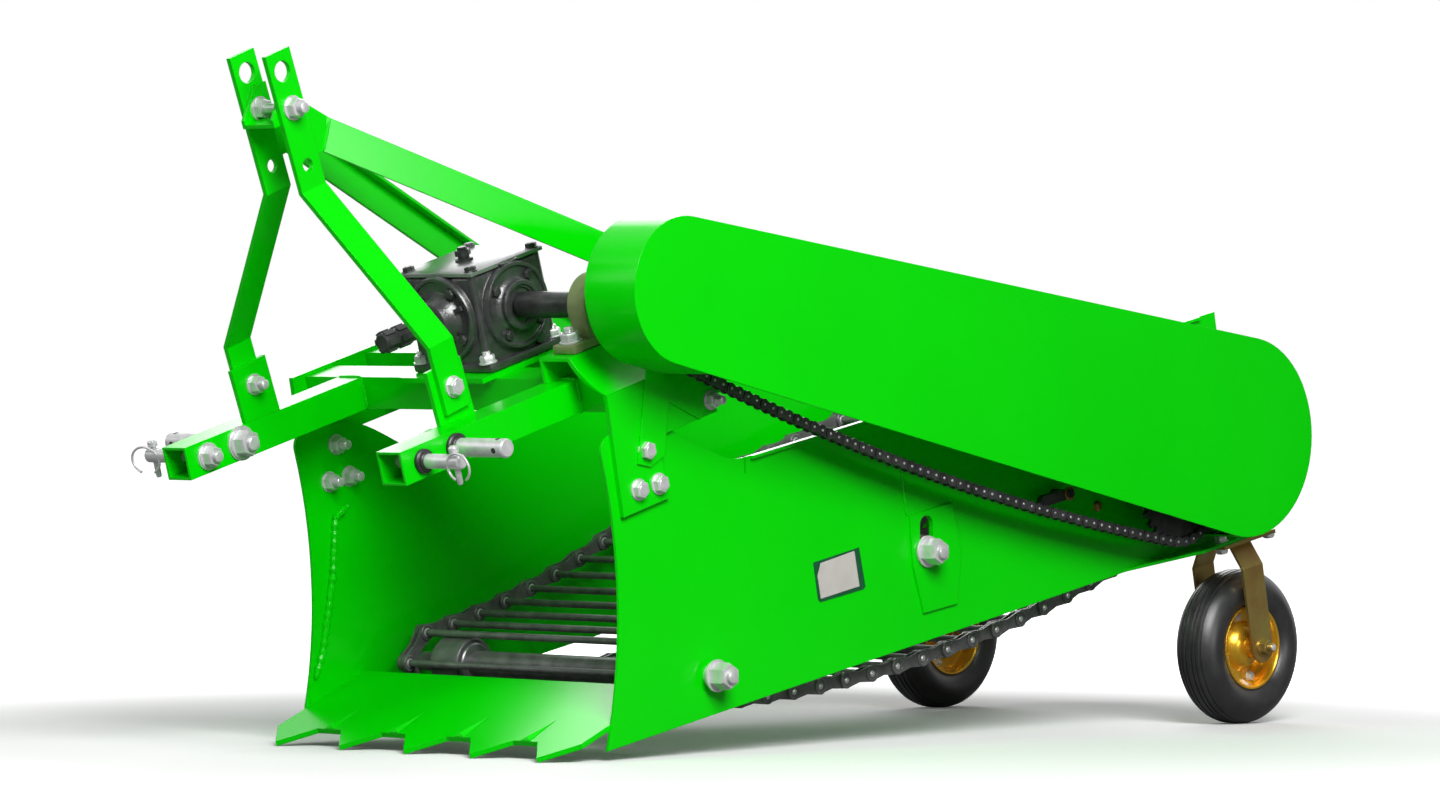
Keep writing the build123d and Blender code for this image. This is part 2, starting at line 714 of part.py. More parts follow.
def mast_spacer():
    """Folded channel between the mast bars, with cheeks that taper to the front."""
    half = MAST_GAP / 2
    wall = SPACER_THICKNESS
    rear = BAR_WIDTH / 2
    cheek = [
        (-SPACER_REACH, SPACER_LOW_M),
        (rear, SPACER_LOW_M),
        (rear, SPACER_HIGH_M),
        (0, SPACER_HIGH_M),
        (-SPACER_REACH, SPACER_LOW_M + SPACER_LIP),
    ]
    spacer = sheet(Polygon(*cheek, align=None), (-half, half))
    spacer -= block(
        (-half + wall, half - wall), (-SPACER_REACH, rear), (SPACER_LOW_M + wall, SPACER_HIGH_M)
    )
    spacer -= rod(BOLT_RADIUS + BOLT_CLEARANCE, (-half, half), (0, MAST_BOLT_M))
    return MAST * spacer


def gusset():
    """Plate behind a mast bar, to which the stay is welded."""
    rear = BAR_WIDTH / 2
    points = [
        (rear, STAY_LOW_CORNER[1]),
        STAY_LOW_CORNER,
        STAY_TOP_CORNER,
        (rear, GUSSET_TOP_M),
    ]
    x = (MAST_GAP / 2, MAST_GAP / 2 + BAR_THICKNESS)
    return MAST * sheet(Polygon(*points, align=None), x)


def stay(side):
    """Angle-section stay, from its gusset to the inner face of the side plate."""
    corners = (Vector(*STAY_TOP_CORNER), Vector(*STAY_LOW_CORNER))
    middle = (corners[0] + corners[1]) / 2
    start = Vector(MAST_GAP / 2 + BAR_THICKNESS, *mast_point(middle.X, middle.Y))
    end = Vector(BODY_HALF_INNER, STAY_END_Y, top_z(STAY_END_Y) - STAY_END_DROP)
    run = end - start
    inward = Vector(0, 0, 1).cross(run).normalized()
    frame = Plane(origin=start, x_dir=inward, z_dir=run)
    half = STAY_SIZE / 2
    reach = (-STAY_LAP, run.length * (1 + STAY_FLANGE / run.X))
    leg = block((0, STAY_THICKNESS), (-half, half), reach)
    flange = block((0, STAY_FLANGE), (half - STAY_THICKNESS, half), reach)
    beyond = block((BODY_HALF_INNER, 2 * BODY_HALF_INNER), (0, 2 * end.Y), (0, 2 * end.Z))
    return mirrored(frame.location * (leg + flange) - beyond + gusset(), side)


def gearbox_plate():
    """Plate on both cross tubes that carries the gearbox."""
    low = CROSS_TOP_T
    x = (-GEARBOX_PLATE_HALF_X, GEARBOX_PLATE_HALF_X)
    return HITCH * block(x, GEARBOX_PLATE_S, (low, low + PLATE_THICKNESS))


def gearbox_housing():
    """Cast housing with feet, round flanges, a collar on its left face and a front neck."""
    base = CROSS_TOP_T + PLATE_THICKNESS
    top = base + GEARBOX_HEIGHT
    half_x = GEARBOX_SIZE_X / 2
    half_s = GEARBOX_SIZE_S / 2
    front = GEARBOX_S - half_s
    rear = GEARBOX_S + half_s
    body = block((-half_x, half_x), (front, rear), (base, top))
    body = fillet(body.edges().filter_by(Axis.Z), GEARBOX_CORNER)
    axis = (GEARBOX_S, GEARBOX_AXIS_T)
    flange = rod(FLANGE_RADIUS, (half_x, half_x + FLANGE_THICKNESS), axis)
    front_flange = Pos(0, front - FLANGE_THICKNESS / 2, GEARBOX_AXIS_T) * Rot(90, 0, 0)
    flange += front_flange * Cylinder(FLANGE_RADIUS, FLANGE_THICKNESS, align=MIDDLE)
    body += flange - block((-2 * half_x, 2 * half_x), (0, 2 * rear), (top, 2 * top))
    body += rod(COLLAR_RADIUS, (half_x, half_x + FLANGE_THICKNESS + COLLAR_LENGTH), axis)
    neck = Pos(0, front - NECK_LENGTH / 2, GEARBOX_AXIS_T) * Rot(90, 0, 0)
    body += neck * Cylinder(NECK_RADIUS, NECK_LENGTH, align=MIDDLE)
    body += block(
        (-FOOT_SPREAD / 2, FOOT_SPREAD / 2),
        (front - FOOT_LIP, rear + FOOT_LIP),
        (base, base + FOOT_HEIGHT),
    )
    return HITCH * body


def gearbox_lid():
    """Cover plate on the housing."""
    base = CROSS_TOP_T + PLATE_THICKNESS + GEARBOX_HEIGHT
    half_x = GEARBOX_SIZE_X / 2 + LID_LIP
    half_s = GEARBOX_SIZE_S / 2 + LID_LIP
    return HITCH * block(
        (-half_x, half_x),
        (GEARBOX_S - half_s, GEARBOX_S + half_s),
        (base, base + LID_THICKNESS),
    )


def spline_section():
    """Cross-section of the splined input end."""
    section = Circle(SPLINE_ROOT_RADIUS)
    for index in range(SPLINE_COUNT // 2):
        turn = Rot(0, 0, index * 360 / SPLINE_COUNT)
        section += turn * Rectangle(2 * PTO_RADIUS, SPLINE_WIDTH)
    return section & Circle(PTO_RADIUS)


def pto_shaft():
    """Input shaft with a splined end and a groove for the yoke's lock."""
    neck_end = GEARBOX_S - GEARBOX_SIZE_S / 2 - NECK_LENGTH
    tip = GEARBOX_S - PTO_REACH
    shaft = Pos(0, (tip + neck_end) / 2, GEARBOX_AXIS_T) * Rot(90, 0, 0)
    shaft = shaft * Cylinder(SPLINE_ROOT_RADIUS, neck_end - tip, align=MIDDLE)
    for near, far in ((0, PTO_GROOVE[0]), (PTO_GROOVE[1], PTO_SPLINE_LENGTH)):
        plane = Plane(origin=(0, tip + near, GEARBOX_AXIS_T), x_dir=(1, 0, 0), z_dir=(0, 1, 0))
        shaft += extrude(plane * spline_section(), amount=far - near)
    return HITCH * shaft


def output_shaft():
    """Cross shaft from the gearbox to the small sprocket."""
    start = GEARBOX_SIZE_X / 2 + FLANGE_THICKNESS + COLLAR_LENGTH
    end = CHAIN_X + CHAIN_WIDTH / 2 + SHAFT_END
    return rod(SHAFT_RADIUS, (start, end), OUTPUT_AXIS)


def bearing():
    """Pillow block that carries the output shaft."""
    ring = (BEARING_X - BEARING_RING_WIDTH / 2, BEARING_X + BEARING_RING_WIDTH / 2)
    foot = (BEARING_X - BEARING_WIDTH / 2, BEARING_X + BEARING_WIDTH / 2)
    base = GEARBOX_AXIS_T - BEARING_HEIGHT
    length = BEARING_BASE_LENGTH / 2
    axis = (GEARBOX_S, GEARBOX_AXIS_T)
    housing = rod(BEARING_RADIUS, ring, axis)
    housing += block(foot, (GEARBOX_S - length, GEARBOX_S + length), (base, base + BEARING_BASE_HEIGHT))
    housing += block(
        ring,
        (GEARBOX_S - BEARING_RADIUS, GEARBOX_S + BEARING_RADIUS),
        (base, GEARBOX_AXIS_T),
    )
    housing -= rod(SHAFT_RADIUS + SEAT_GAP, ring, axis)
    return HITCH * housing


def shelf_curves():
    """Lower and upper arc of the bent shelf's flank, drawn in (x, t) from its foot up."""
    top = GEARBOX_AXIS_T - BEARING_HEIGHT
    arcs = []
    for foot, head in (
        ((BODY_HALF, SHELF_FOOT_T), (SHELF_X[1] - SHELF_THICKNESS, top - SHELF_THICKNESS)),
        ((BODY_HALF + BRACKET_THICKNESS, SHELF_FOOT_T), (SHELF_X[1], top)),
    ):
        chord = Vector(*head) - Vector(*foot)
        below = Vector(chord.Y, -chord.X).normalized() * -SHELF_SWEEP / 2
        middle = (Vector(*head) + Vector(*foot)) / 2 + below
        arcs.append(ThreePointArc(foot, middle, head))
    return arcs


def bearing_shelf():
    """Bent plate that carries the pillow block, from the cross tubes to the left bracket."""
    top = GEARBOX_AXIS_T - BEARING_HEIGHT
    inner = SHELF_X[0]
    low, high = shelf_curves()
    edges = [
        low,
        Line(low @ 1, (inner + SHELF_THICKNESS, top - SHELF_THICKNESS)),
        Line((inner + SHELF_THICKNESS, top - SHELF_THICKNESS), (inner + SHELF_THICKNESS, CROSS_TOP_T)),
        Line((inner + SHELF_THICKNESS, CROSS_TOP_T), (inner, CROSS_TOP_T)),
        Line((inner, CROSS_TOP_T), (inner, top)),
        Line((inner, top), high @ 1),
        high,
        Line(high @ 0, low @ 0),
    ]
    s = (BRACKET_FRONT_TOP_S, REAR_CROSS_S + CROSS_DEPTH)
    return HITCH * slab(make_face(Wire(edges)), s)


def guard_line_z(y):
    """Height of the guard's long axis."""
    fall = (GUARD_REAR[1] - GUARD_FRONT[1]) / (GUARD_REAR[0] - GUARD_FRONT[0])
    return GUARD_FRONT[1] + fall * (y - GUARD_FRONT[0])


def guard_gap():
    """Region below the guard's axis, between its two closed ends."""
    low = GUARD_REAR[1] - 2 * GUARD_REAR_RADIUS
    corners = [(y, guard_line_z(y)) for y in GUARD_OPEN_Y]
    corners += [(GUARD_OPEN_Y[1], low), (GUARD_OPEN_Y[0], low)]
    return Polygon(*corners, align=None)


def chain_guard():
    """Long cover over the drive chain, open at its back and along its lower edge."""
    outer = tapered(GUARD_FRONT, GUARD_FRONT_RADIUS, GUARD_REAR, GUARD_REAR_RADIUS)
    inner = tapered(
        GUARD_FRONT,
        GUARD_FRONT_RADIUS - GUARD_SHEET,
        GUARD_REAR,
        GUARD_REAR_RADIUS - GUARD_SHEET,
    )
    cover = sheet(outer, (GUARD_BACK_X, GUARD_FACE_X))
    hollow = (GUARD_BACK_X, GUARD_FACE_X - GUARD_SHEET)
    return cover - sheet(inner, hollow) - sheet(guard_gap(), hollow)


def guard_back():
    """Back panel that carries the guard on the left bracket and the side plate."""
    panel = tapered(GUARD_FRONT, GUARD_FRONT_RADIUS, GUARD_REAR, GUARD_REAR_RADIUS)
    panel -= guard_gap()
    ends = [(y, guard_line_z(y)) for y in (GUARD_TAB[-1][0], GUARD_TAB[0][0])]
    panel += Polygon(*GUARD_TAB, *ends, align=None)
    panel += Polygon(*[hitch_point(s, t) for s, t in GUARD_STRAP], align=None)
    panel -= Pos(*OUTPUT_AXIS) * Circle(SHAFT_RADIUS + GUARD_SHAFT_GAP)
    rest_z = guard_line_z(GUARD_REST_Y) + GUARD_REST_SIZE[1]
    rest = Pos(GUARD_REST_Y, rest_z) * Rectangle(*GUARD_REST_SIZE)
    back = sheet(panel, (GUARD_BACK_X - GUARD_SHEET, GUARD_BACK_X))
    return back + sheet(rest, (BODY_HALF, GUARD_BACK_X - GUARD_SHEET))


def sprocket(centre, radius, shaft_radius):
    """Chain wheel inside the chain's links, bored for its shaft."""
    half = SPROCKET_WIDTH / 2
    reach = radius - CHAIN_HALF_HEIGHT - SEAT_GAP
    wheel = rod(reach, (CHAIN_X - half, CHAIN_X + half), centre)
    hub = (CHAIN_X - CHAIN_WIDTH / 2, CHAIN_X + CHAIN_WIDTH / 2)
    wheel += rod(shaft_radius * 1.8, hub, centre)
    return wheel - rod(shaft_radius + BOLT_CLEARANCE, hub, centre)


def drive_chain():
    """Roller chain round both sprockets, as one closed band."""
    x = (CHAIN_X - CHAIN_WIDTH / 2, CHAIN_X + CHAIN_WIDTH / 2)
    return link_band(CHAIN_POINTS, CHAIN_HALF_HEIGHT, CHAIN_WAIST, x)


def rod_web():
    """Elevator web: steel rods between two side chains, as one closed loop."""
    pieces = []
    for side in (1, -1):
        x = (side * WEB_CHAIN_INNER_X, side * WEB_CHAIN_OUTER_X)
        pieces.append(link_band(WEB_POINTS, WEB_LINK_HALF, WEB_LINK_WAIST, x))
    reach = WEB_CHAIN_INNER_X + WEB_CHAIN_WIDTH / 2
    for point in WEB_POINTS:
        bar = Pos(*point) * RegularPolygon(ROD_RADIUS, ROD_SIDES)
        pieces.append(sheet(bar, (-reach, reach)))
    return pieces[0].fuse(*pieces[1:])


def roller(centre, seat):
    """Pair of drums on a tube and axle, with a hexagon head outside each side plate."""
    ends = seat + ROLLER_HEAD_LENGTH + ROLLER_END
    axle = rod(ROLLER_AXLE_RADIUS, (-ends, ends), centre)
    axle += rod(ROLLER_TUBE_RADIUS, (DRUM_LENGTH - DRUM_OUTER_X, DRUM_OUTER_X - DRUM_LENGTH), centre)
    for side in (1, -1):
        drum = (side * (DRUM_OUTER_X - DRUM_LENGTH), side * DRUM_OUTER_X)
        hub = (drum[0] - side * DRUM_HUB_STEP, drum[1] + side * DRUM_HUB_STEP)
        axle += rod(DRUM_RADIUS, drum, centre) + rod(DRUM_HUB_RADIUS, hub, centre)
        head = (side * seat, side * (seat + ROLLER_HEAD_LENGTH))
        axle += hexagon(ROLLER_HEAD_RADIUS, head, centre)
    return axle


def drive_shaft():
    """Rear cross shaft that carries the web's wheels and the large sprocket."""
    end = CHAIN_X + CHAIN_WIDTH / 2 + SHAFT_END
    return rod(DRIVE_SHAFT_RADIUS, (-BODY_HALF - FREE_SHAFT_END, end), REAR_SHAFT)


def web_wheel(side):
    """Drive wheel with a six-sided pocket for every rod."""
    first = max(WEB_POINTS)
    phase = atan2(first[1] - REAR_SHAFT[1], first[0] - REAR_SHAFT[0])
    outline = Pos(*REAR_SHAFT) * Circle(WEB_REAR_RADIUS)
    for index in range(WEB_TEETH):
        pocket = on_circle(REAR_SHAFT, WEB_REAR_RADIUS, phase + 2 * pi * index / WEB_TEETH)
        outline -= Pos(*pocket) * RegularPolygon(ROD_RADIUS + SEAT_GAP, ROD_SIDES)
    outline -= Pos(*REAR_SHAFT) * Circle(DRIVE_SHAFT_RADIUS + BOLT_CLEARANCE)
    x = (WEB_WHEEL_OUTER_X - WEB_WHEEL_WIDTH, WEB_WHEEL_OUTER_X)
    return mirrored(sheet(outline, x), side)


def rear_bearing(side):
    """Flanged bearing outside a side plate, for the rear shaft."""
    x = (BODY_HALF, BODY_HALF + 9)
    unit = hexagon(2.6 * DRIVE_SHAFT_RADIUS, (x[0], x[0] + 4), REAR_SHAFT)
    unit += rod(1.9 * DRIVE_SHAFT_RADIUS, x, REAR_SHAFT)
    return mirrored(unit - rod(DRIVE_SHAFT_RADIUS + SEAT_GAP, x, REAR_SHAFT), side)


def rear_tube():
    """Cross tube between the side plates above the wheels."""
    low = belly_z(REAR_TUBE_Y) + REAR_TUBE_SIZE
    half = REAR_TUBE_SIZE / 2
    x = (-BODY_HALF_INNER, BODY_HALF_INNER)
    y = (REAR_TUBE_Y - half, REAR_TUBE_Y + half)
    return square_tube(x, y, (low - half, low + half), TUBE_WALL, "x")


def fork_frame():
    """Frame at the fork's base plate: its y runs along the side plates' lower edge."""
    lean = radians(BELLY_ANGLE)
    belly = Vector(0, cos(lean), sin(lean))
    down = Vector(0, sin(lean), -cos(lean))
    start = Vector(0, *BELLY_START)
    axle = Vector(0, AXLE_Y, TYRE_RADIUS)
    along = (axle - start).dot(belly)
    origin = start + belly * along
    drop = (axle - origin).dot(down)
    return Plane(origin=origin + Vector(WHEEL_X, 0, 0), x_dir=(1, 0, 0), z_dir=-down), drop


def fork(side):
    """Rigid wheel fork: base plate under the side plate and two cranked legs."""
    frame, drop = fork_frame()
    half_x = FORK_PLATE_SIZE[0] / 2
    half_y = FORK_PLATE_SIZE[1] / 2
    body = block((-half_x, half_x), (-half_y, half_y), (-FORK_PLATE_THICKNESS, 0))
    foot = -drop
    inner = [
        (FORK_TOP_X, -FORK_PLATE_THICKNESS),
        (FORK_LEG_X, -FORK_BEND_DROP),
        (FORK_LEG_X, foot),
    ]
    outer = [(x + FORK_THICKNESS, z) for x, z in reversed(inner)]
    half = FORK_WIDTH / 2
    for hand in (1, -1):
        leg = slab(Polygon(*inner, *outer, align=None), (-half, half))
        leg += rod(half, (FORK_LEG_X, FORK_LEG_X + FORK_THICKNESS), (0, foot))
        leg -= rod(AXLE_RADIUS + BOLT_CLEARANCE, (FORK_LEG_X, FORK_LEG_X + FORK_THICKNESS), (0, foot))
        body += mirrored(leg, hand)
    return mirrored(frame.location * body, side)


def wheel_axle(side):
    """Axle bolt through both fork legs."""
    end = FORK_LEG_X + FORK_THICKNESS
    point = (AXLE_Y, TYRE_RADIUS)
    bolt = rod(AXLE_RADIUS, (WHEEL_X - end, WHEEL_X + end), point)
    for low, high in ((WHEEL_X + end, WHEEL_X + end + AXLE_HEAD_LENGTH),
                      (WHEEL_X - end - AXLE_HEAD_LENGTH, WHEEL_X - end)):
        bolt += hexagon(AXLE_HEAD_RADIUS, (low, high), point)
    return mirrored(bolt, side)


def turned(profile, side):
    """Ring revolved about the wheel's axle from a sketch in (x, radius)."""
    sketch = Plane.XZ * profile
    ring = revolve(sketch, axis=Axis.X, revolution_arc=360)
    return mirrored(Pos(WHEEL_X, AXLE_Y, TYRE_RADIUS) * ring, side)


def tyre(side):
    """Tyre whose round section is drawn as short straight facets between its beads."""
    half = TYRE_WIDTH / 2
    bead = half - TYRE_BEAD_INSET
    middle = (TYRE_RADIUS + RIM_RADIUS) / 2
    rise_of = TYRE_RADIUS - middle
    points = [(-bead, RIM_RADIUS), (bead, RIM_RADIUS)]
    for index in range(TYRE_FACETS + 1):
        turn = pi * index / TYRE_FACETS
        points.append((half * cos(turn), middle + rise_of * sin(turn) ** TYRE_SQUARENESS))
    return turned(Polygon(*points, align=None), side)


def rim(side):
    """Pressed rim: a well under the beads, a disc and a hub bored for the axle."""
    half = TYRE_WIDTH / 2 - 14
    hub = HUB_LENGTH / 2
    bore = AXLE_RADIUS + RUNNING_CLEARANCE
    rest = RIM_RADIUS - SEAT_GAP
    points = [
        (-half, rest),
        (half, rest),
        (half, rest - RIM_DISC),
        (RIM_DISC, rest - RIM_DISC),
        (RIM_DISC, HUB_RADIUS),
        (hub, HUB_RADIUS),
        (hub, bore),
        (-hub, bore),
        (-hub, HUB_RADIUS),
        (-RIM_DISC, HUB_RADIUS),
        (-RIM_DISC, rest - RIM_DISC),
        (-half, rest - RIM_DISC),
    ]
    return turned(Polygon(*points, align=None), side)


def both(piece, *sizes):
    """The left and the right copy of a small piece, as one node."""
    return piece(1, *sizes) + piece(-1, *sizes)


def make_nodes():
    """All pieces by node name, in the drawing's axes."""
    nodes = {
        "share": share(),
        "cross_tube_front": cross_tube(CROSS_FRONT_S),
        "cross_tube_rear": cross_tube(REAR_CROSS_S),
        "mast_bolt": mast_bolt(),
        "mast_spacer": mast_spacer(),
        "gearbox_plate": gearbox_plate(),
        "gearbox_housing": gearbox_housing(),
        "gearbox_lid": gearbox_lid(),
        "pto_shaft": pto_shaft(),
        "output_shaft": output_shaft(),
        "shaft_bearing": bearing(),
        "bearing_shelf": bearing_shelf(),
        "chain_guard": chain_guard(),
        "guard_back": guard_back(),
        "sprocket_small": sprocket(OUTPUT_AXIS, SMALL_RADIUS, SHAFT_RADIUS),
        "sprocket_large": sprocket(REAR_SHAFT, LARGE_RADIUS, DRIVE_SHAFT_RADIUS),
        "drive_chain": drive_chain(),
        "rod_web": rod_web(),
        "front_roller": roller(FRONT_ROLLER, BODY_HALF),
        "support_roller": roller(SUPPORT_ROLLER, BODY_HALF + DOUBLER_THICKNESS),
        "drive_shaft": drive_shaft(),
        "rear_tube": rear_tube(),
        "hitch_pins_front": both(hitch_pin, FRONT_PIN_S, FRONT_PIN_RADIUS, FRONT_PIN_REACH),
        "hitch_pins_rear": both(hitch_pin, REAR_PIN_S, REAR_PIN_RADIUS, REAR_PIN_REACH),
        "mast_lugs": both(mast_lug),
        "lug_bolts": both(lug_bolt),
        "web_wheels": both(web_wheel),
        "rear_bearings": both(rear_bearing),
        "wheel_axles": both(wheel_axle),
    }
    for name, side in SIDES.items():
        nodes["side_plate_" + name] = side_plate(side)
        nodes["hitch_arm_" + name] = hitch_arm(side)
        nodes["bracket_" + name] = bracket(side)
        nodes["mast_bar_" + name] = mast_bar(side)
        nodes["stay_" + name] = stay(side)
        nodes["fork_" + name] = fork(side)
        nodes["tyre_" + name] = tyre(side)
        nodes["rim_" + name] = rim(side)
    return nodes


def origin_of(nodes):
    """Point on the floor under the middle of the whole machine."""
    boxes = [piece.bounding_box() for piece in nodes.values()]
    low = [min(tuple(box.min)[axis] for box in boxes) for axis in range(3)]
    high = [max(tuple(box.max)[axis] for box in boxes) for axis in range(3)]
    return Vector((low[0] + high[0]) / 2, (low[1] + high[1]) / 2, low[2])


NODES = make_nodes()
ORIGIN = origin_of(NODES)

os.makedirs("parts", exist_ok=True)
for node_name, piece in NODES.items():
    export_step(Pos(-ORIGIN) * piece, f"parts/{node_name}.step")
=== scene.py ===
"""Looks of the potato harvester, built around the frame of its CAD nodes.

Sizes are millimetres in the drawing's axes: x to the machine's left, y rearward from the
share's tooth tips, z up from the floor. at() turns them into the frame's metres. Parts of
the hitch use its pitched axes, x, s and t. MAST, BELLY and SHARE are tilted axes too.
"""

import json
from math import atan2, cos, hypot, pi, radians, sin

import bmesh
import bpy
from mathutils import Matrix, Vector, noise


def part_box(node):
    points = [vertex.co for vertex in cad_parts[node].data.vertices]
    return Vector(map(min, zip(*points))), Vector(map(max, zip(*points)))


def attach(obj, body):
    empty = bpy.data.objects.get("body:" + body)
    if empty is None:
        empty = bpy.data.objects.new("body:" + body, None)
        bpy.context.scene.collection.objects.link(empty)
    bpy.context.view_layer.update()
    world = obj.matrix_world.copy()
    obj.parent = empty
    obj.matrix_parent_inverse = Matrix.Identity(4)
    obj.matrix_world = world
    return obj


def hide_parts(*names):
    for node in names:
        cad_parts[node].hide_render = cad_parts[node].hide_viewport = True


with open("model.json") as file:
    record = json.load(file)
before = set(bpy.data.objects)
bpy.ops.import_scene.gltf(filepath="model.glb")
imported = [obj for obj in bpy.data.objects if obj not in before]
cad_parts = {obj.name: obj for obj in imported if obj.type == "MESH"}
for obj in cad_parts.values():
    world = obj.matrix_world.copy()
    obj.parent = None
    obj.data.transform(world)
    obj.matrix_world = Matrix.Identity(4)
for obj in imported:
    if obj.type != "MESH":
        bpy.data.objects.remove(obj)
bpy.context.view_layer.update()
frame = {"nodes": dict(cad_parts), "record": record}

MM = 0.001
WHEEL_CENTRE = Vector((324, 1551, 125)) * MM
HITCH_PITCH = radians(16.2)
BELLY_SLOPE = radians(11.44)
BELLY_START = 95
MAST_LEAN = radians(20.7)
SHARE_SLOPE = radians(23.3)
SMOOTH_ANGLE = radians(35)


def centre_of(node):
    """Middle of a CAD node's box."""
    low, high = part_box(node)
    return (low + high) / 2


ORIGIN = WHEEL_CENTRE - centre_of("tyre_left")


def at(x, y, z):
    """Point of the drawing, in the frame's metres."""
    return Vector((x, y, z)) * MM - ORIGIN


def drawn(node):
    """Middle of a CAD node in the drawing's (y, z)."""
    point = (centre_of(node) + ORIGIN) / MM
    return (point.y, point.z)


TO_FRAME = Matrix.Translation(-ORIGIN) @ Matrix.Scale(MM, 4)
HITCH = TO_FRAME @ Matrix.Translation((0, -249.5, 431)) @ Matrix.Rotation(HITCH_PITCH, 4, "X")
BELLY = TO_FRAME @ Matrix.Translation((0, BELLY_START, 15)) @ Matrix.Rotation(BELLY_SLOPE, 4, "X")
MAST = TO_FRAME @ Matrix.Translation((0, -117.5, 549)) @ Matrix.Rotation(MAST_LEAN, 4, "X")
SHARE = TO_FRAME @ Matrix.Rotation(SHARE_SLOPE, 4, "X")
SIDEWAYS = Matrix(((0, 0, 1, 0), (1, 0, 0, 0), (0, 1, 0, 0), (0, 0, 0, 1)))
ALONG_X = Matrix.Rotation(radians(90), 4, "Y")
AGAINST_X = Matrix.Rotation(radians(-90), 4, "Y")
FORWARD = Matrix.Rotation(radians(90), 4, "X")
REARWARD = Matrix.Rotation(radians(-90), 4, "X")
FLIPPED = Matrix.Rotation(pi, 4, "X")

# Distances from the middle plane: outer faces of the side plates, of their doublers and of
# the mast's bars, and the arms' middle with half their width
PLATE_OUTER = 330
DOUBLER_OUTER = 334
BAR_OUTER = 42
ARM_X = 230
ARM_HALF = 25


def place(axes, x, y, z, turn=Matrix.Identity(4)):
    """Matrix of a part that stands at a point of some axes, turned in them."""
    return axes @ Matrix.Translation((x, y, z)) @ turn


def lifted(matrix, height):
    """The same matrix moved along its own Z."""
    return matrix @ Matrix.Translation((0, 0, height))


def outward(side):
    """Turn that points a part's Z to the left (side 1) or to the right (side -1)."""
    return ALONG_X if side > 0 else AGAINST_X


def around(count, radius, phase):
    """Points (x, y) spaced evenly round a circle, the first at an angle."""
    turns = [phase + 2 * pi * index / count for index in range(count)]
    return [(radius * cos(turn), radius * sin(turn)) for turn in turns]


# Materials


def shader_node(tree, kind, values=None, **options):
    """New node of a shader tree, with its options and the values of its inputs."""
    made = tree.nodes.new("ShaderNode" + kind)
    for name, value in options.items():
        setattr(made, name, value)
    for name, value in (values or {}).items():
        made.inputs[name].default_value = value
    return made


def new_material(name):
    """Empty material: itself, its tree and its shader."""
    mat = bpy.data.materials.new(name)
    mat.use_nodes = True
    return mat, mat.node_tree, mat.node_tree.nodes["Principled BSDF"]


def material(name, colour, second, rough, metal=0.0, specular=0.5, scale=30.0, bump=0.1, coat=0.0,
             bump_scale=250.0, edge=0.0012):
    """Principled material with a slow colour change, a rough map, a fine bump and soft edges."""
    mat, tree, shader = new_material(name)
    link = tree.links.new
    for socket, value in (("Metallic", metal), ("Specular IOR Level", specular),
                          ("Coat Weight", coat), ("Coat Roughness", 0.12)):
        shader.inputs[socket].default_value = value
    coords = shader_node(tree, "TexCoord")
    slow = shader_node(tree, "TexNoise", {"Scale": scale, "Detail": 5})
    link(coords.outputs["Object"], slow.inputs["Vector"])
    ramp = shader_node(tree, "ValToRGB")
    stops = ramp.color_ramp.elements
    for index, (position, shade) in enumerate(((0.35, colour), (0.72, second))):
        stops[index].position = position
        stops[index].color = (*shade, 1)
    link(slow.outputs["Fac"], ramp.inputs["Fac"])
    link(ramp.outputs["Color"], shader.inputs["Base Color"])
    gloss = shader_node(tree, "MapRange", {"To Min": rough * 0.8, "To Max": min(1.0, rough * 1.25)})
    link(slow.outputs["Fac"], gloss.inputs["Value"])
    link(gloss.outputs["Result"], shader.inputs["Roughness"])
    fine = shader_node(tree, "TexNoise", {"Scale": bump_scale, "Detail": 3})
    link(coords.outputs["Object"], fine.inputs["Vector"])
    relief = shader_node(tree, "Bump", {"Strength": bump, "Distance": 0.0008})
    link(fine.outputs["Fac"], relief.inputs["Height"])
    soft = shader_node(tree, "Bevel", {"Radius": edge}, samples=4)
    link(soft.outputs["Normal"], relief.inputs["Normal"])
    link(relief.outputs["Normal"], shader.inputs["Normal"])
    return mat


MATERIALS = {
    "green_paint": material("green_paint", (0.0008, 0.70, 0.0008), (0.0008, 0.74, 0.0008), 0.20,
                            specular=0.22, scale=4, bump=0.03, bump_scale=420, edge=0.0018),
    "dark_steel": material("dark_steel", (0.040, 0.040, 0.042), (0.085, 0.084, 0.086), 0.36,
                           metal=0.45, scale=45, bump=0.25, edge=0.0006),
    "cast_iron": material("cast_iron", (0.028, 0.028, 0.030), (0.055, 0.054, 0.057), 0.30, specular=0.9,
                          scale=60, bump=0.7, coat=0.4, bump_scale=330, edge=0.0022),
    "olive_casting": material("olive_casting", (0.235, 0.270, 0.115), (0.310, 0.345, 0.165), 0.45,
                              metal=0.15, scale=50, bump=0.5, edge=0.0015),
    "bright_zinc": material("bright_zinc", (0.66, 0.66, 0.67), (0.80, 0.80, 0.81), 0.33,
                            metal=0.45, scale=70, bump=0.12, edge=0.0008),
    "yellow_zinc": material("yellow_zinc", (0.50, 0.40, 0.11), (0.42, 0.24, 0.075), 0.30,
                            metal=0.8, scale=22, bump=0.08, edge=0.0010),
    "gold_rim": material("gold_rim", (0.76, 0.40, 0.016), (0.86, 0.50, 0.035), 0.26,
                         metal=0.7, scale=18, bump=0.05, coat=0.3),
    "tyre_rubber": material("tyre_rubber", (0.015, 0.015, 0.016), (0.028, 0.028, 0.029), 0.36,
                            specular=0.8, scale=40, bump=0.3, bump_scale=500),
}
DARK_GREEN = material("dark_green_print", (0.001, 0.085, 0.025), (0.002, 0.110, 0.035), 0.35, scale=30)
POLISHED = material("worn_cover", (0.30, 0.30, 0.31), (0.48, 0.48, 0.49), 0.34, metal=0.75, scale=9,
                    bump=0.2)
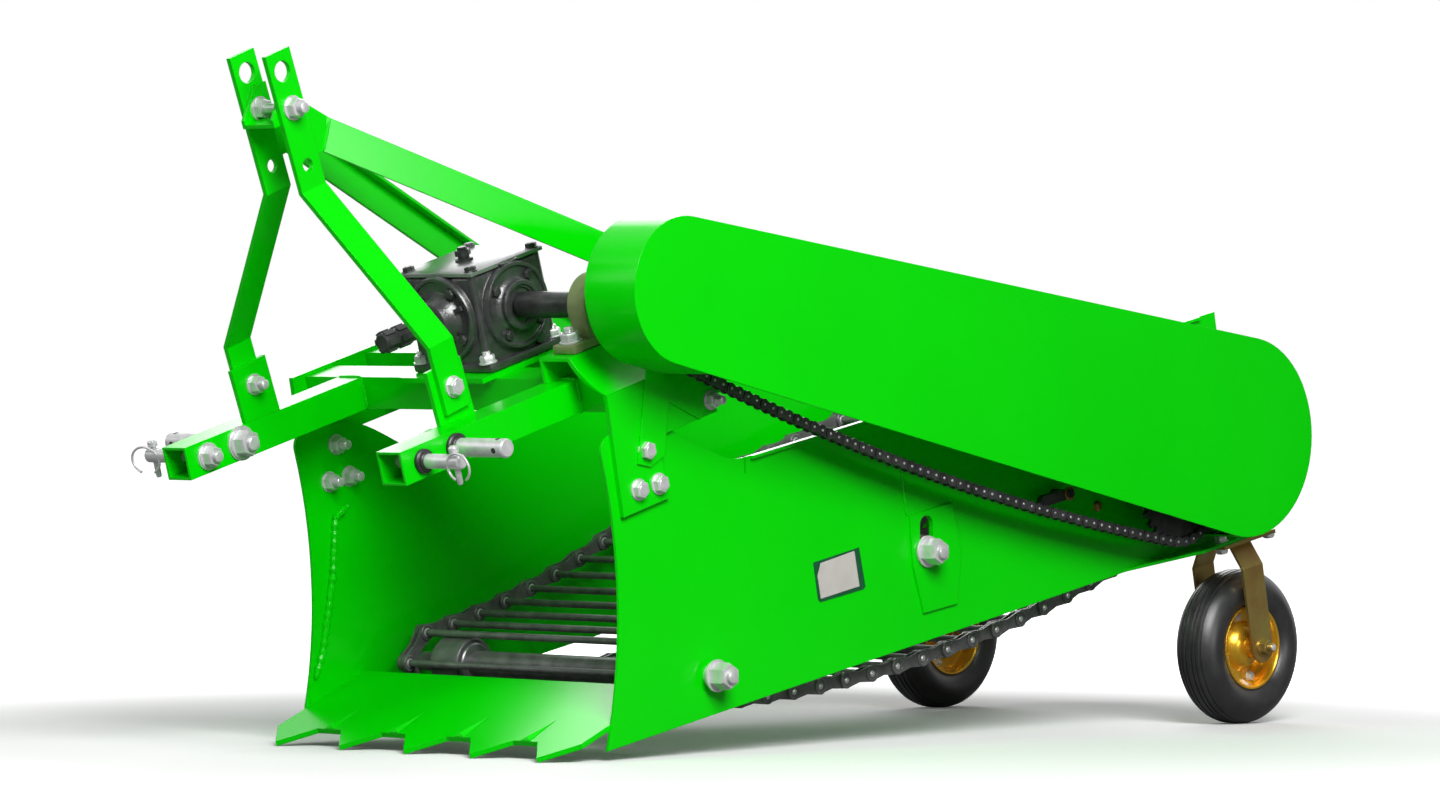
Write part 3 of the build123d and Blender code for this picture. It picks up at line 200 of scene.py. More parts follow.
PALE_PLATE = material("pale_plate", (0.56, 0.54, 0.50), (0.63, 0.61, 0.57), 0.40, scale=30, bump=0.04)
# Dark steel made lighter for the rod web and the roller drums: painted light, because these parts sit in
# shade
WEB_STEEL_PAINTED_LIGHT = material("web_steel_painted_light", (0.12, 0.12, 0.123), (0.21, 0.208, 0.21), 0.34, metal=0.25, scale=45,
                     bump=0.25, edge=0.0006)
PIN_STEEL = material("pin_steel", (0.46, 0.46, 0.47), (0.60, 0.60, 0.61), 0.32, metal=0.45, scale=60)

for subpart in frame["record"]["subparts"]:
    node = frame["nodes"][subpart["node"]]
    node.data.materials.clear()
    node.data.materials.append(MATERIALS[subpart["material_slot"]])


# Mesh helpers: every shape stands along its own Z

WIRE_SIDES = 8
# Proportions of bolts and nuts by the diameter of their shank
WASHER_RADIUS = 1.08
WASHER_HEIGHT = 0.16
HEX_RADIUS = 0.92
HEAD_HEIGHT = 0.62
NUT_HEIGHT = 0.8
THREAD_STEP = 0.13


def linked(name, data):
    """Object of a mesh, lamp or camera, linked to the scene."""
    thing = bpy.data.objects.new(name, data)
    bpy.context.scene.collection.objects.link(thing)
    return thing


def piece(name, mesh, slot, body="root", replaced=(), look=None):
    """Turn a bmesh into a piece, with its sharp edges and body, a material from its slot unless a look is
    given, and its replaced nodes hidden.
    """
    bmesh.ops.remove_doubles(mesh, verts=mesh.verts, dist=1e-7)
    bmesh.ops.recalc_face_normals(mesh, faces=mesh.faces)
    for face in mesh.faces:
        face.smooth = True
    for edge in mesh.edges:
        if len(edge.link_faces) == 2 and edge.calc_face_angle(0) > SMOOTH_ANGLE:
            edge.smooth = False
    data = bpy.data.meshes.new(name)
    mesh.to_mesh(data)
    mesh.free()
    data.materials.append(look or MATERIALS[slot])
    thing = linked(name, data)
    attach(thing, body)
    if replaced:
        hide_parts(*replaced)


def lathe(mesh, matrix, profile, sides):
    """Surface turned from (radius, height) points; a radius of 0 closes it to a point."""
    rings = []
    for radius, height in profile:
        if radius == 0:
            rings.append([mesh.verts.new(matrix @ Vector((0, 0, height)))])
            continue
        rings.append([mesh.verts.new(matrix @ Vector((x, y, height)))
                      for x, y in around(sides, radius, 0.0)])
    for low, high in zip(rings, rings[1:]):
        for index in range(sides):
            after = (index + 1) % sides
            corners = [low[index % len(low)], low[after % len(low)],
                       high[after % len(high)], high[index % len(high)]]
            unique = list(dict.fromkeys(corners))
            if len(unique) > 2:
                mesh.faces.new(unique)


def closed_lathe(mesh, matrix, profile, sides):
    """Ring-shaped body: the profile's last point joins its first."""
    lathe(mesh, matrix, list(profile) + [profile[0]], sides)


def cylinder(mesh, matrix, radius, low, high, sides):
    """Plain cylinder between two heights."""
    lathe(mesh, matrix, [(0, low), (radius, low), (radius, high), (0, high)], sides)


def skin(mesh, rings):
    """Faces over the first and last of several rings of points, and between them."""
    count = len(rings[0])
    mesh.faces.new(rings[0])
    mesh.faces.new(rings[-1])
    for low, high in zip(rings, rings[1:]):
        for index in range(count):
            after = (index + 1) % count
            mesh.faces.new((low[index], low[after], high[after], high[index]))


def prism(mesh, matrix, outline, low, high):
    """Outline in (x, y) extruded from low to high."""
    skin(mesh, [[mesh.verts.new(matrix @ Vector((x, y, height))) for x, y in outline]
                for height in (low, high)])


def rounded_box(mesh, matrix, low, high, bevel, segments):
    """Box between two corners with rounded edges."""
    made = bmesh.ops.create_cube(mesh, size=1)
    size = Vector(high) - Vector(low)
    middle = (Vector(high) + Vector(low)) / 2
    for vert in made["verts"]:
        vert.co = Vector([vert.co[axis] * size[axis] + middle[axis] for axis in range(3)])
    edges = list(dict.fromkeys(edge for vert in made["verts"] for edge in vert.link_edges))
    result = bmesh.ops.bevel(mesh, geom=edges, offset=bevel, segments=segments,
                             affect="EDGES", profile=0.5)
    verts = {vert for face in result["faces"] for vert in face.verts}
    for face in result["faces"]:
        for edge in face.edges:
            for near in edge.link_faces:
                verts.update(near.verts)
    for vert in verts:
        vert.co = matrix @ vert.co


def washer(mesh, matrix, radius, thick):
    """Flat washer under a head or nut."""
    cylinder(mesh, matrix, radius, 0, thick, 24)


def hex_head(mesh, matrix, radius, height):
    """Hexagon with chamfered corners; its lower face rests at the origin."""
    lathe(mesh, matrix, [
        (0, 0), (radius, 0), (radius, height * 0.82), (radius * 0.88, height), (0, height),
    ], 6)


def bolt(mesh, matrix, size):
    """Washer and hexagon head of a bolt of that shank diameter."""
    washer(mesh, matrix, size * WASHER_RADIUS, size * WASHER_HEIGHT)
    head = lifted(matrix, size * WASHER_HEIGHT)
    top = size * HEAD_HEIGHT
    hex_head(mesh, head, size * HEX_RADIUS, top)
    lathe(mesh, head, [(0, top), (size * 0.6, top), (size * 0.55, size * 0.68), (0, size * 0.68)], 20)


def nut(mesh, matrix, size, stud):
    """Washer, nut and the threaded end of a bolt that stands out of it."""
    washer(mesh, matrix, size * WASHER_RADIUS, size * WASHER_HEIGHT)
    seat = lifted(matrix, size * WASHER_HEIGHT)
    top = size * NUT_HEIGHT
    hex_head(mesh, seat, size * HEX_RADIUS, top)
    radius = size / 2
    profile = [(0, top), (radius * 0.9, top)]
    turns = max(3, int(stud / (size * THREAD_STEP)))
    for index in range(turns):
        height = top + stud * (index + 0.25) / turns
        profile.append((radius, height))
        profile.append((radius * 0.9, height + stud * 0.5 / turns))
    profile += [(radius * 0.75, top + stud), (0, top + stud)]
    lathe(mesh, seat, profile, 20)


def tube(mesh, path, widths, guide):
    """Round tube through points in metres, with its radius at each of them."""
    rings = []
    for index, (spot, width) in enumerate(zip(path, widths)):
        along = (path[min(len(path) - 1, index + 1)] - path[max(0, index - 1)]).normalized()
        side = along.cross(guide).normalized()
        up = side.cross(along)
        rings.append([mesh.verts.new(spot + width * (side * x + up * y))
                      for x, y in around(WIRE_SIDES, 1, 0.0)])
    skin(mesh, rings)


def bead(mesh, points, radius, seed):
    """Weld bead along points in metres, with the ripples of its passes."""
    step = radius * 0.45
    path = []
    for start, end in zip(points, points[1:]):
        count = max(2, int((end - start).length / step))
        path += [start.lerp(end, index / count) for index in range(count)]
    path.append(points[-1])
    widths = []
    for index, spot in enumerate(path):
        uneven = 0.22 * noise.noise(spot * 90 + Vector((seed, 0, 0)))
        swell = 0.85 + 0.13 * sin(index * 1.4) + uneven
        taper = min(1.0, (index + 0.4) / 3, (len(path) - index - 0.6) / 3)
        widths.append(radius * swell * taper)
    tube(mesh, path, widths, Vector((0.3, 0.2, 0.9)))


def link_outline(pitch, end, waist):
    """Outline of a chain link plate with two round ends and a waist."""
    outline = []
    for centre, start in ((pitch / 2, -pi / 2), (-pitch / 2, pi / 2)):
        for index in range(9):
            turn = start + pi * index / 8
            outline.append((centre + end * cos(turn), end * sin(turn)))
        outline.append((0, waist if start < 0 else -waist))
    return outline


# Loops of the rod web and the drive chain


LOOP_STEPS = 12
CHAIN_PITCH = 19.05
CHAIN_SAG = 33.0
CHAIN_INNER = 4.7
CHAIN_OUTER = 6.9
CHAIN_PLATE = 1.9
ROLLER_RADIUS = 5.9
SMALL_TEETH = 23
LARGE_TEETH = 30
WEB_STEP = 60.0
WEB_SAGS = (20.0, 0.0, 50.0)
WEB_RADIUS = 45.5
WEB_TEETH = 12
WEB_SIDE_X = 277
WEB_LINK_INNER = 4.0
WEB_LINK_OUTER = 6.9
ROD_HALF = 284
ROD_RADIUS = 5.6


def on_circle(centre, radius, turn):
    """Point (y, z) of a circle at an angle from +Y."""
    return (centre[0] + radius * cos(turn), centre[1] + radius * sin(turn))


def span(front, rear, sag, hand):
    """Ends, slope and end droop of a strand above (hand 1) or below (-1) two wheels.

    A wheel is its centre and radius. The strand hangs below its chord by the sag, so at
    each end its slope differs from the chord's by the droop.
    """
    slope = atan2(rear[0][1] - front[0][1], rear[0][0] - front[0][0])
    droop = 0.0
    for _ in range(LOOP_STEPS):
        start = on_circle(*front, slope - droop + hand * pi / 2)
        end = on_circle(*rear, slope + droop + hand * pi / 2)
        slope = atan2(end[1] - start[1], end[0] - start[0])
        droop = atan2(4 * sag, hypot(end[0] - start[0], end[1] - start[1]))
    return start, end, slope, droop


def strand(start, end, sag, hand):
    """Length of a hanging strand, and its point at each way along it."""
    chord = hypot(end[0] - start[0], end[1] - start[1])
    along = ((end[0] - start[0]) / chord, (end[1] - start[1]) / chord)
    length = chord + 8 * sag**2 / (3 * chord)

    def point(way):
        share = way / length
        drop = 4 * sag * share * (1 - share) * hand
        return (
            start[0] + share * chord * along[0] + drop * along[1],
            start[1] + share * chord * along[1] - drop * along[0],
        )

    return length, point


def wrap(wheel, start, end):
    """Length of the clockwise arc on a wheel between two angles, and its points."""
    centre, radius = wheel

    def point(way):
        return on_circle(centre, radius, start - way / radius)

    return radius * (start - end), point


def loop_pieces(wheels, sags):
    """Upper strands, arcs and lower strand of a loop round wheels given front to rear."""
    upper = [span(one, two, sag, 1) for one, two, sag in zip(wheels, wheels[1:], sags)]
    start, end, slope, droop = span(wheels[0], wheels[-1], sags[-1], -1)
    leaving = [run[2] - run[3] + pi / 2 for run in upper] + [slope + droop - pi / 2]
    pieces = []
    for index, run in enumerate(upper):
        pieces.append(strand(run[0], run[1], sags[index], 1))
        pieces.append(wrap(wheels[index + 1], run[2] + run[3] + pi / 2, leaving[index + 1]))
    pieces.append(strand(end, start, sags[-1], -1))
    pieces.append(wrap(wheels[0], slope - droop - pi / 2, leaving[0] - 2 * pi))
    return pieces


def point_on(pieces, way):
    """Point of the loop at a way along it, which may run past its start."""
    for length, point in pieces:
        if way < length:
            return point(way)
        way -= length
    return pieces[0][1](way)


def link_ways(pieces, pitch, count):
    """Ways along the loop at which equal straight links meet."""
    ways = [0.0]
    for _ in range(count):
        start = point_on(pieces, ways[-1])
        way = ways[-1] + pitch
        for _ in range(LOOP_STEPS):
            end = point_on(pieces, way)
            way += pitch - hypot(end[0] - start[0], end[1] - start[1])
        ways.append(way)
    return ways


def wheel_radius(teeth, pitch):
    """Pitch radius of a chain wheel."""
    return pitch / (2 * sin(pi / teeth))


def fit_loop(wheels_at, sags, pitch):
    """Exact pitch and joints of a loop of equal links that closes on its wheels."""
    pieces = loop_pieces(wheels_at(pitch), sags)
    count = 2 * round(sum(length for length, point in pieces) / pitch / 2)
    for _ in range(LOOP_STEPS):
        pieces = loop_pieces(wheels_at(pitch), sags)
        ways = link_ways(pieces, pitch, count)
        pitch *= sum(length for length, point in pieces) / ways[-1]
    return pitch, [point_on(pieces, way) for way in ways[:-1]]


def link_matrix(start, end, x):
    """Frame of a link: its own X along the link and its Z along the machine's x."""
    along = Vector((0, end[0] - start[0], end[1] - start[1])).normalized()
    across = Vector((1, 0, 0))
    out = across.cross(along)
    turn = Matrix((along, out, across)).transposed().to_4x4()
    middle = (x, (start[0] + end[0]) / 2, (start[1] + end[1]) / 2)
    return TO_FRAME @ Matrix.Translation(middle) @ turn


def wheel_middle(node):
    """Middle of a chain wheel across the machine, in the drawing's x."""
    return (centre_of(node).x + ORIGIN.x) / MM


def chain_loop():
    """Pitch and joints of the drive chain."""
    return fit_loop(
        lambda pitch: [
            (drawn("sprocket_small"), wheel_radius(SMALL_TEETH, pitch)),
            (drawn("sprocket_large"), wheel_radius(LARGE_TEETH, pitch)),
        ],
        (0.0, CHAIN_SAG),
        CHAIN_PITCH,
    )


def web_loop():
    """Pitch and joints of the rod web."""
    return fit_loop(
        lambda step: [
            (drawn("front_roller"), WEB_RADIUS),
            (drawn("support_roller"), WEB_RADIUS),
            (drawn("drive_shaft"), wheel_radius(WEB_TEETH, step)),
        ],
        WEB_SAGS,
        WEB_STEP,
    )


def drive_chain():
    """Roller chain of rollers, bright-ended pins and alternate inner and outer link plates."""
    mesh = bmesh.new()
    heads = bmesh.new()
    pitch, points = chain_loop()
    x = wheel_middle("sprocket_large")
    inner = (link_outline(pitch, 8.9, 6.2), CHAIN_INNER)
    outer = (link_outline(pitch, 8.4, 5.0), CHAIN_OUTER)
    for index, start in enumerate(points):
        end = points[(index + 1) % len(points)]
        matrix = link_matrix(start, end, x)
        outline, reach = outer if index % 2 else inner
        for side in (1, -1):
            prism(mesh, matrix, outline, side * reach, side * (reach + CHAIN_PLATE))
        pin = place(TO_FRAME, x, *start, ALONG_X)
        cylinder(mesh, pin, ROLLER_RADIUS, -CHAIN_INNER, CHAIN_INNER, 12)
        lathe(heads, pin, [(0, -10), (1.4, -10), (2.3, -9.2), (2.3, 9.2), (1.4, 10), (0, 10)], 10)
    piece("chain_pins", heads, "dark_steel", look=PIN_STEEL)
    piece("roller_chain", mesh, "dark_steel", replaced=("drive_chain",))


def toothed_wheel(mesh, matrix, teeth, pitch, width, phase):
    """Sprocket disc whose teeth stand between the chain's rollers."""
    radius = wheel_radius(teeth, pitch)
    tooth = ((-0.5, -ROLLER_RADIUS), (-0.34, -4.2), (-0.18, 3.6), (0.18, 3.6), (0.34, -4.2))
    outline = []
    for index in range(teeth):
        for share, reach in tooth:
            turn = phase + 2 * pi * (index + 0.5 + share) / teeth
            outline.append(((radius + reach) * cos(turn), (radius + reach) * sin(turn)))
    prism(mesh, matrix, outline, -width / 2, width / 2)


def sprockets():
    """Both chain wheels with hubs, in mesh with the chain."""
    pitch, points = chain_loop()
    x = wheel_middle("sprocket_large")
    for name, node, teeth, shaft in (
        ("small_chain_wheel", "sprocket_small", SMALL_TEETH, 20),
        ("large_chain_wheel", "sprocket_large", LARGE_TEETH, 17.5),
    ):
        centre = drawn(node)
        radius = wheel_radius(teeth, pitch)
        on = min(points, key=lambda p: abs(hypot(p[0] - centre[0], p[1] - centre[1]) - radius))
        phase = atan2(on[1] - centre[1], on[0] - centre[0])
        mesh = bmesh.new()
        matrix = place(TO_FRAME, x, *centre, SIDEWAYS)
        toothed_wheel(mesh, matrix, teeth, pitch, 8, phase)
        lathe(mesh, matrix, [(0, -9), (shaft * 1.8, -9), (shaft * 1.8, -4), (shaft * 1.8, 8),
                             (shaft * 1.7, 9), (0, 9)], 32)
        piece(name, mesh, "dark_steel", replaced=(node,))


def side_link(mesh, start, end, side, outline, inner):
    """Two waisted plates of the web's side chain and the ringed bushes at their first rod."""
    matrix = link_matrix(start, end, side * WEB_SIDE_X)
    shift = 3.0 if inner else 0
    prism(mesh, matrix, outline, -WEB_LINK_OUTER + shift, -WEB_LINK_INNER + shift)
    prism(mesh, matrix, outline, WEB_LINK_INNER - shift, WEB_LINK_OUTER - shift)
    ring = [(6.0, 0), (12.8, 0), (12.8, 1.6), (11.6, 2.6), (9.6, 2.6), (8.8, 1.2), (6.0, 1.2)]
    for face in (1, -1):
        seat = place(TO_FRAME, side * WEB_SIDE_X + face * WEB_LINK_OUTER, *start, outward(face))
        closed_lathe(mesh, seat, ring, 20)


def rod_web():
    """Elevator web: round rods with bright ends, ringed bushes and waisted side links."""
    mesh = bmesh.new()
    heads = bmesh.new()
    pitch, points = web_loop()
    outline = link_outline(pitch, 12.8, 8.4)
    for index, start in enumerate(points):
        end = points[(index + 1) % len(points)]
        cylinder(mesh, place(TO_FRAME, 0, *start, ALONG_X), ROD_RADIUS, -ROD_HALF, ROD_HALF, 14)
        for side in (1, -1):
            side_link(mesh, start, end, side, outline, index % 2 == 0)
            tip = place(TO_FRAME, side * ROD_HALF, *start, outward(side))
            lathe(heads, tip, [(0, -1), (5.2, -1), (5.2, 1.0), (3.6, 2.4), (0, 3.0)], 14)
            tip = place(TO_FRAME, side * 267.6, *start, outward(-side))
            closed_lathe(heads, tip, [(5.5, -1.6), (7.4, -1.6), (7.0, 0.2), (5.5, 0.8)], 14)
    piece("rod_heads", heads, "bright_zinc")
    piece("elevator_web", mesh, "dark_steel", replaced=("rod_web",), look=WEB_STEEL_PAINTED_LIGHT)


# Wheels

RIM_FACE = 10.2
FORK_OUTER = 53.5


def wheel_axes(side):
    """Axes at a wheel's centre, in millimetres: Z points outward along the axle."""
    name = "tyre_left" if side > 0 else "tyre_right"
    return Matrix.Translation(centre_of(name)) @ Matrix.Scale(MM, 4) @ outward(side)


def tyre_profile():
    """Section of the tyre in (radius, height across): ribs, shoulders, walls and beads."""
    half = [(125, 0), (125, 4.2), (122.6, 4.8), (122.6, 6.6), (124.9, 7.2), (124.6, 12.0), (122.0, 12.6),
            (122.0, 14.4), (123.8, 15.0), (122.4, 20.0), (119.6, 20.8), (119.4, 22.6), (120.6, 23.4),
            (117.5, 28.2), (113.0, 33.0), (107.0, 37.4), (100.0, 40.4), (94.0, 41.6), (88.0, 41.2),
            (81.0, 38.8), (74.0, 35.2), (70.6, 31.5), (69.6, 31.8), (67.8, 29.5), (66.3, 25.0)]
    return half + [(radius, -across) for radius, across in reversed(half[1:])]


def rim_profile(sign):
    """Half section of the pressed rim: rolled lip, well, bolt ring and dome."""
    return [(r, sign * h) for r, h in (
        (65.6, 0), (65.6, 24), (67.4, 29.4), (69.0, 31.2), (68.2, 32.8), (65.6, 32.6), (63.2, 29.8),
        (61.6, 20.0), (59.4, 13.0), (57.0, 10.2), (44.0, 10.2), (41.0, 11.4), (38.0, 16.0),
        (33.5, 22.4), (28.0, 26.4), (22.0, 28.0), (18.5, 29.5), (18.5, 41.0), (17.0, 43.0),
        (9.0, 43.0), (9.0, 0),
    )]


def rim_bolts(matrix):
    """Four bolts with nuts round the rim, and the valve."""
    mesh = bmesh.new()
    for x, y in around(4, 51.5, radians(20)):
        bolt(mesh, place(matrix, x, y, RIM_FACE), 8)
        nut(mesh, place(matrix, x, y, -RIM_FACE, FLIPPED), 8, 4)
    valve = place(matrix, 58, 0, 14, Matrix.Rotation(radians(30), 4, "Y"))
    lathe(mesh, valve, [(0, -6), (3.2, -6), (3.2, 8), (2.6, 8), (2.6, 14), (0, 14)], 14)
    return mesh


def wheels():
    """Tyres and rims of both wheels, each on its own body."""
    for name, side in (("left", 1), ("right", -1)):
        matrix = wheel_axes(side)
        mesh = bmesh.new()
        closed_lathe(mesh, matrix, tyre_profile(), 96)
        piece("ribbed_tyre_" + name, mesh, "tyre_rubber", "wheel_" + name, ("tyre_" + name,))
        mesh = bmesh.new()
        closed_lathe(mesh, matrix, rim_profile(1) + rim_profile(-1)[::-1], 72)
        piece("pressed_rim_" + name, mesh, "gold_rim", "wheel_" + name, ("rim_" + name,))
        piece("rim_bolts_" + name, rim_bolts(matrix), "bright_zinc", "wheel_" + name)


def axle_bolts():
    """Wheel bolts with their washers, nuts and threaded ends outside the fork legs."""
    mesh = bmesh.new()
    ends = bmesh.new()
    size, stud = 14, 9
    tip = FORK_OUTER + size * (WASHER_HEIGHT + NUT_HEIGHT) + stud
    for side in (1, -1):
        matrix = wheel_axes(side)
        cylinder(mesh, matrix, 8, -FORK_OUTER, FORK_OUTER, 28)
        nut(mesh, lifted(matrix, FORK_OUTER), size, stud)
        bolt(mesh, place(matrix, 0, 0, -FORK_OUTER, FLIPPED), size)
        lathe(ends, matrix, [(0, tip - 1), (5.2, tip - 1), (5.2, tip + 0.4), (4.4, tip + 0.9),
                             (0, tip + 0.9)], 20)
    piece("axle_bolts", mesh, "yellow_zinc", replaced=("wheel_axles",))
    piece("axle_bolt_ends", ends, "bright_zinc")


# Gearbox and its shafts

BOX_HALF = 74
BOX_FRONT = 377.5
BOX_REAR = 526.5
BOX_TOP = 181
SHAFT_S = 452
SHAFT_T = 117
BEARING_X = 250
BOX_FRONT_FACE = place(HITCH, 0, BOX_FRONT, SHAFT_T, FORWARD)
BOX_LEFT_FACE = place(HITCH, BOX_HALF, SHAFT_S, SHAFT_T, ALONG_X)


def box_flanges(mesh):
    """Ringed flanges with collars on the gearbox's front and left faces."""
    flange = [(0, -4), (66, -4), (66, 7.5), (64, 10.5), (59.5, 10.5), (57.5, 7.0), (54, 6.0)]
    front = [(42, 7), (38, 12), (34, 24), (31.5, 32), (27, 34), (20, 34), (19, 31), (0, 31)]
    left = [(44, 7), (40.5, 11), (38, 12), (38, 18), (36.5, 20), (31, 20), (29.5, 17), (27, 17),
            (26, 13), (0, 13)]
    lathe(mesh, BOX_FRONT_FACE, flange + front, 64)
    lathe(mesh, BOX_LEFT_FACE, flange + left, 64)


def gearbox_casting():
    """Cast housing: rounded body, feet, flanges, ribs, corner posts and a plug."""
    mesh = bmesh.new()
    rounded_box(mesh, HITCH, (-BOX_HALF, BOX_FRONT, 34), (BOX_HALF, BOX_REAR, BOX_TOP), 9, 4)
    rounded_box(mesh, HITCH, (-BOX_HALF - 10, BOX_FRONT - 6, 33), (BOX_HALF + 10, BOX_REAR + 6, 47), 4, 2)
    box_flanges(mesh)
    for turn in (radians(20), radians(160), radians(225), radians(315)):
        rib = BOX_FRONT_FACE @ Matrix.Rotation(turn, 4, "Z")
        prism(mesh, rib, [(30, -3.5), (55, -3.5), (55, 3.5), (30, 3.5)], 2, 13)
    for s in (-1, 1):
        bar = place(BOX_LEFT_FACE, -66, s * 10, 0, Matrix.Rotation(radians(8 * s), 4, "Z"))
        rounded_box(mesh, bar, (-1.6, -9, 0), (1.6, 9, 8.5), 1, 1)
    for x, s in ((67, 384), (-67, 384), (67, 520), (-67, 520)):
        lathe(mesh, place(HITCH, x, s, 46), [(0, 0), (9.5, 0), (7.5, 20), (7, 134), (0, 134)], 16)
    plug = place(HITCH, BOX_HALF, 488, 58, ALONG_X)
    lathe(mesh, plug, [(0, -4), (11, -4), (11, 5), (9.5, 6.5), (0, 6.5)], 24)
    piece("gearbox_casting", mesh, "cast_iron", replaced=("gearbox_housing",))


def cover_ring(mesh, margin, t):
    """Corners of the gearbox's cover at a height, past the housing by a margin."""
    half, front, rear = BOX_HALF + margin, BOX_FRONT - margin, BOX_REAR + margin
    corners = ((-half, front), (half, front), (half, rear), (-half, rear))
    return [mesh.verts.new(HITCH @ Vector((x, s, t))) for x, s in corners]


def gearbox_cover():
    """Worn flat cover with a chamfered edge."""
    mesh = bmesh.new()
    skin(mesh, [cover_ring(mesh, 3, 181.2), cover_ring(mesh, 3, 186.4), cover_ring(mesh, -2, 189.6)])
    piece("gearbox_cover", mesh, "cast_iron", replaced=("gearbox_lid",), look=POLISHED)


def gearbox_bolts():
    """Dark bolts of the cover and the flanges, and the breather."""
    mesh = bmesh.new()
    for x in (-66, 66):
        for s in (386, 518):
            bolt(mesh, place(HITCH, x, s, 187), 10)
    vent = place(HITCH, 0, 440, 189.6)
    lathe(mesh, vent, [(0, -1), (14, -1), (14, 3), (9, 4), (9, 8), (0, 8)], 24)
    hex_head(mesh, lifted(vent, 8), 12.5, 9)
    hex_head(mesh, lifted(vent, 16), 8, 5)
    for x, y in around(4, 50, radians(52)):
        bolt(mesh, place(BOX_FRONT_FACE, x, y, 6), 9)
        bolt(mesh, place(BOX_LEFT_FACE, x, y, 6), 9)
    piece("gearbox_bolts", mesh, "dark_steel")


def splined_shaft():
    """PTO input end with six splines and a lock groove."""
    mesh = bmesh.new()
    tip = place(HITCH, 0, 242, SHAFT_T, REARWARD)
    outline = []
    for index in range(6):
        for share, radius in ((-0.27, 14.6), (-0.25, 17.4), (0.25, 17.4), (0.27, 14.6)):
            turn = 2 * pi * (index + share) / 6
            outline.append((radius * cos(turn), radius * sin(turn)))
    prism(mesh, tip, outline, 2, 22)
    prism(mesh, tip, outline, 29, 52)
    lathe(mesh, tip, [(0, 0), (12.5, 0), (14.4, 2), (14.4, 104), (0, 104)], 36)
    piece("splined_end", mesh, "dark_steel", replaced=("pto_shaft",))


def pillow_block():
    """Cast bearing housing on its base, with a grease nipple."""
    mesh = bmesh.new()
    axis = place(HITCH, BEARING_X, SHAFT_S, SHAFT_T, ALONG_X)
    closed_lathe(mesh, axis, [(20.5, -17), (46, -18), (49, -15.5), (49, 15.5), (46, 18), (20.5, 17)], 56)
    rounded_box(mesh, HITCH, (BEARING_X - 23, 364.5, 65), (BEARING_X + 23, 539.5, 79), 3, 2)
    rounded_box(mesh, HITCH, (BEARING_X - 18, 404, 70), (BEARING_X + 18, 500, 112), 6, 2)
    nipple = place(HITCH, BEARING_X, SHAFT_S, 163)
    lathe(mesh, nipple, [(0, 0), (5, 0), (5, 5), (2.6, 6), (2.6, 11), (0, 11)], 14)
    piece("bearing_casting", mesh, "olive_casting", replaced=("shaft_bearing",))


# Fasteners and small fittings

BRACKET_BOLTS = ((403, -92), (373, -143), (416, -147))
BOLT_RADIUS = 7.9
FORK_BOLTS = ((363, 1462), (363, 1580), (290, 1462), (290, 1580))
CROSS_BOLT_M = 432
DRUM_X = 202
ARM_END_S = 374
ARM_BEAD = 0.0032
# Name, place along the arm, radius and reach of each pair of link pins
LINK_PINS = (("front", 41, 11, 81), ("rear", 110, 14, 106))


def frame_bolts():
    """Bright bolts of the brackets, the guard, the gearbox and the bearing."""
    mesh = bmesh.new()
    for s, t in BRACKET_BOLTS:
        for side in (1, -1):
            bolt(mesh, place(HITCH, side * 338, s, t, outward(side)), 15)
            nut(mesh, place(HITCH, side * 325, s, t, outward(-side)), 15, 14)
    nut(mesh, place(TO_FRAME, 341, 298, 529, ALONG_X), 14, 14)
    for x in (-70, 70):
        for s in (380, 524):
            nut(mesh, place(HITCH, x, s, 47), 13, 6)
    for s in (383, 521):
        nut(mesh, place(HITCH, BEARING_X, s, 79), 16, 8)
    piece("frame_bolts", mesh, "bright_zinc")


def mast_bolts():
    """Bolts at the mast's feet, and the cross bolt through its bars and spacer."""
    mesh = bmesh.new()
    for side in (1, -1):
        bolt(mesh, place(MAST, side * 221, 0, 0, outward(side)), 15)
        nut(mesh, place(MAST, side * 205, 0, 0, outward(-side)), 15, 12)
        cylinder(mesh, place(MAST, side * 213, 0, 0, ALONG_X), BOLT_RADIUS, -8, 8, 16)
    piece("mast_foot_bolts", mesh, "bright_zinc", replaced=("lug_bolts",))

    mesh = bmesh.new()
    nut(mesh, place(MAST, BAR_OUTER, 0, CROSS_BOLT_M, ALONG_X), 17, 12)
    bolt(mesh, place(MAST, -BAR_OUTER, 0, CROSS_BOLT_M, AGAINST_X), 17)
    bolt(mesh, place(MAST, -28, 0, CROSS_BOLT_M, ALONG_X), 17)
    shank = place(MAST, 0, 0, CROSS_BOLT_M, ALONG_X)
    cylinder(mesh, shank, BOLT_RADIUS, -BAR_OUTER, BAR_OUTER, 16)
    piece("mast_cross_bolt", mesh, "bright_zinc", replaced=("mast_bolt",))


def fork_base_bolts():
    """Four bolts with nuts through each wheel fork's base plate."""
    mesh = bmesh.new()
    for side in (1, -1):
        for x, y in FORK_BOLTS:
            seat = place(BELLY, side * x, (y - BELLY_START) / cos(BELLY_SLOPE), 0)
            nut(mesh, lifted(seat, 5 if x > PLATE_OUTER else 0), 11, 6)
            bolt(mesh, place(seat, 0, 0, -6, FLIPPED), 11)
    piece("fork_base_bolts", mesh, "bright_zinc")


def rear_bearing_bolts():
    """Nuts of the rear shaft's flanged bearings."""
    mesh = bmesh.new()
    y, z = drawn("drive_shaft")
    for side in (1, -1):
        for dy, dz in around(3, 37, radians(90)):
            nut(mesh, place(TO_FRAME, side * DOUBLER_OUTER, y + dy, z + dz, outward(side)), 9, 4)
    piece("rear_bearing_nuts", mesh, "bright_zinc")


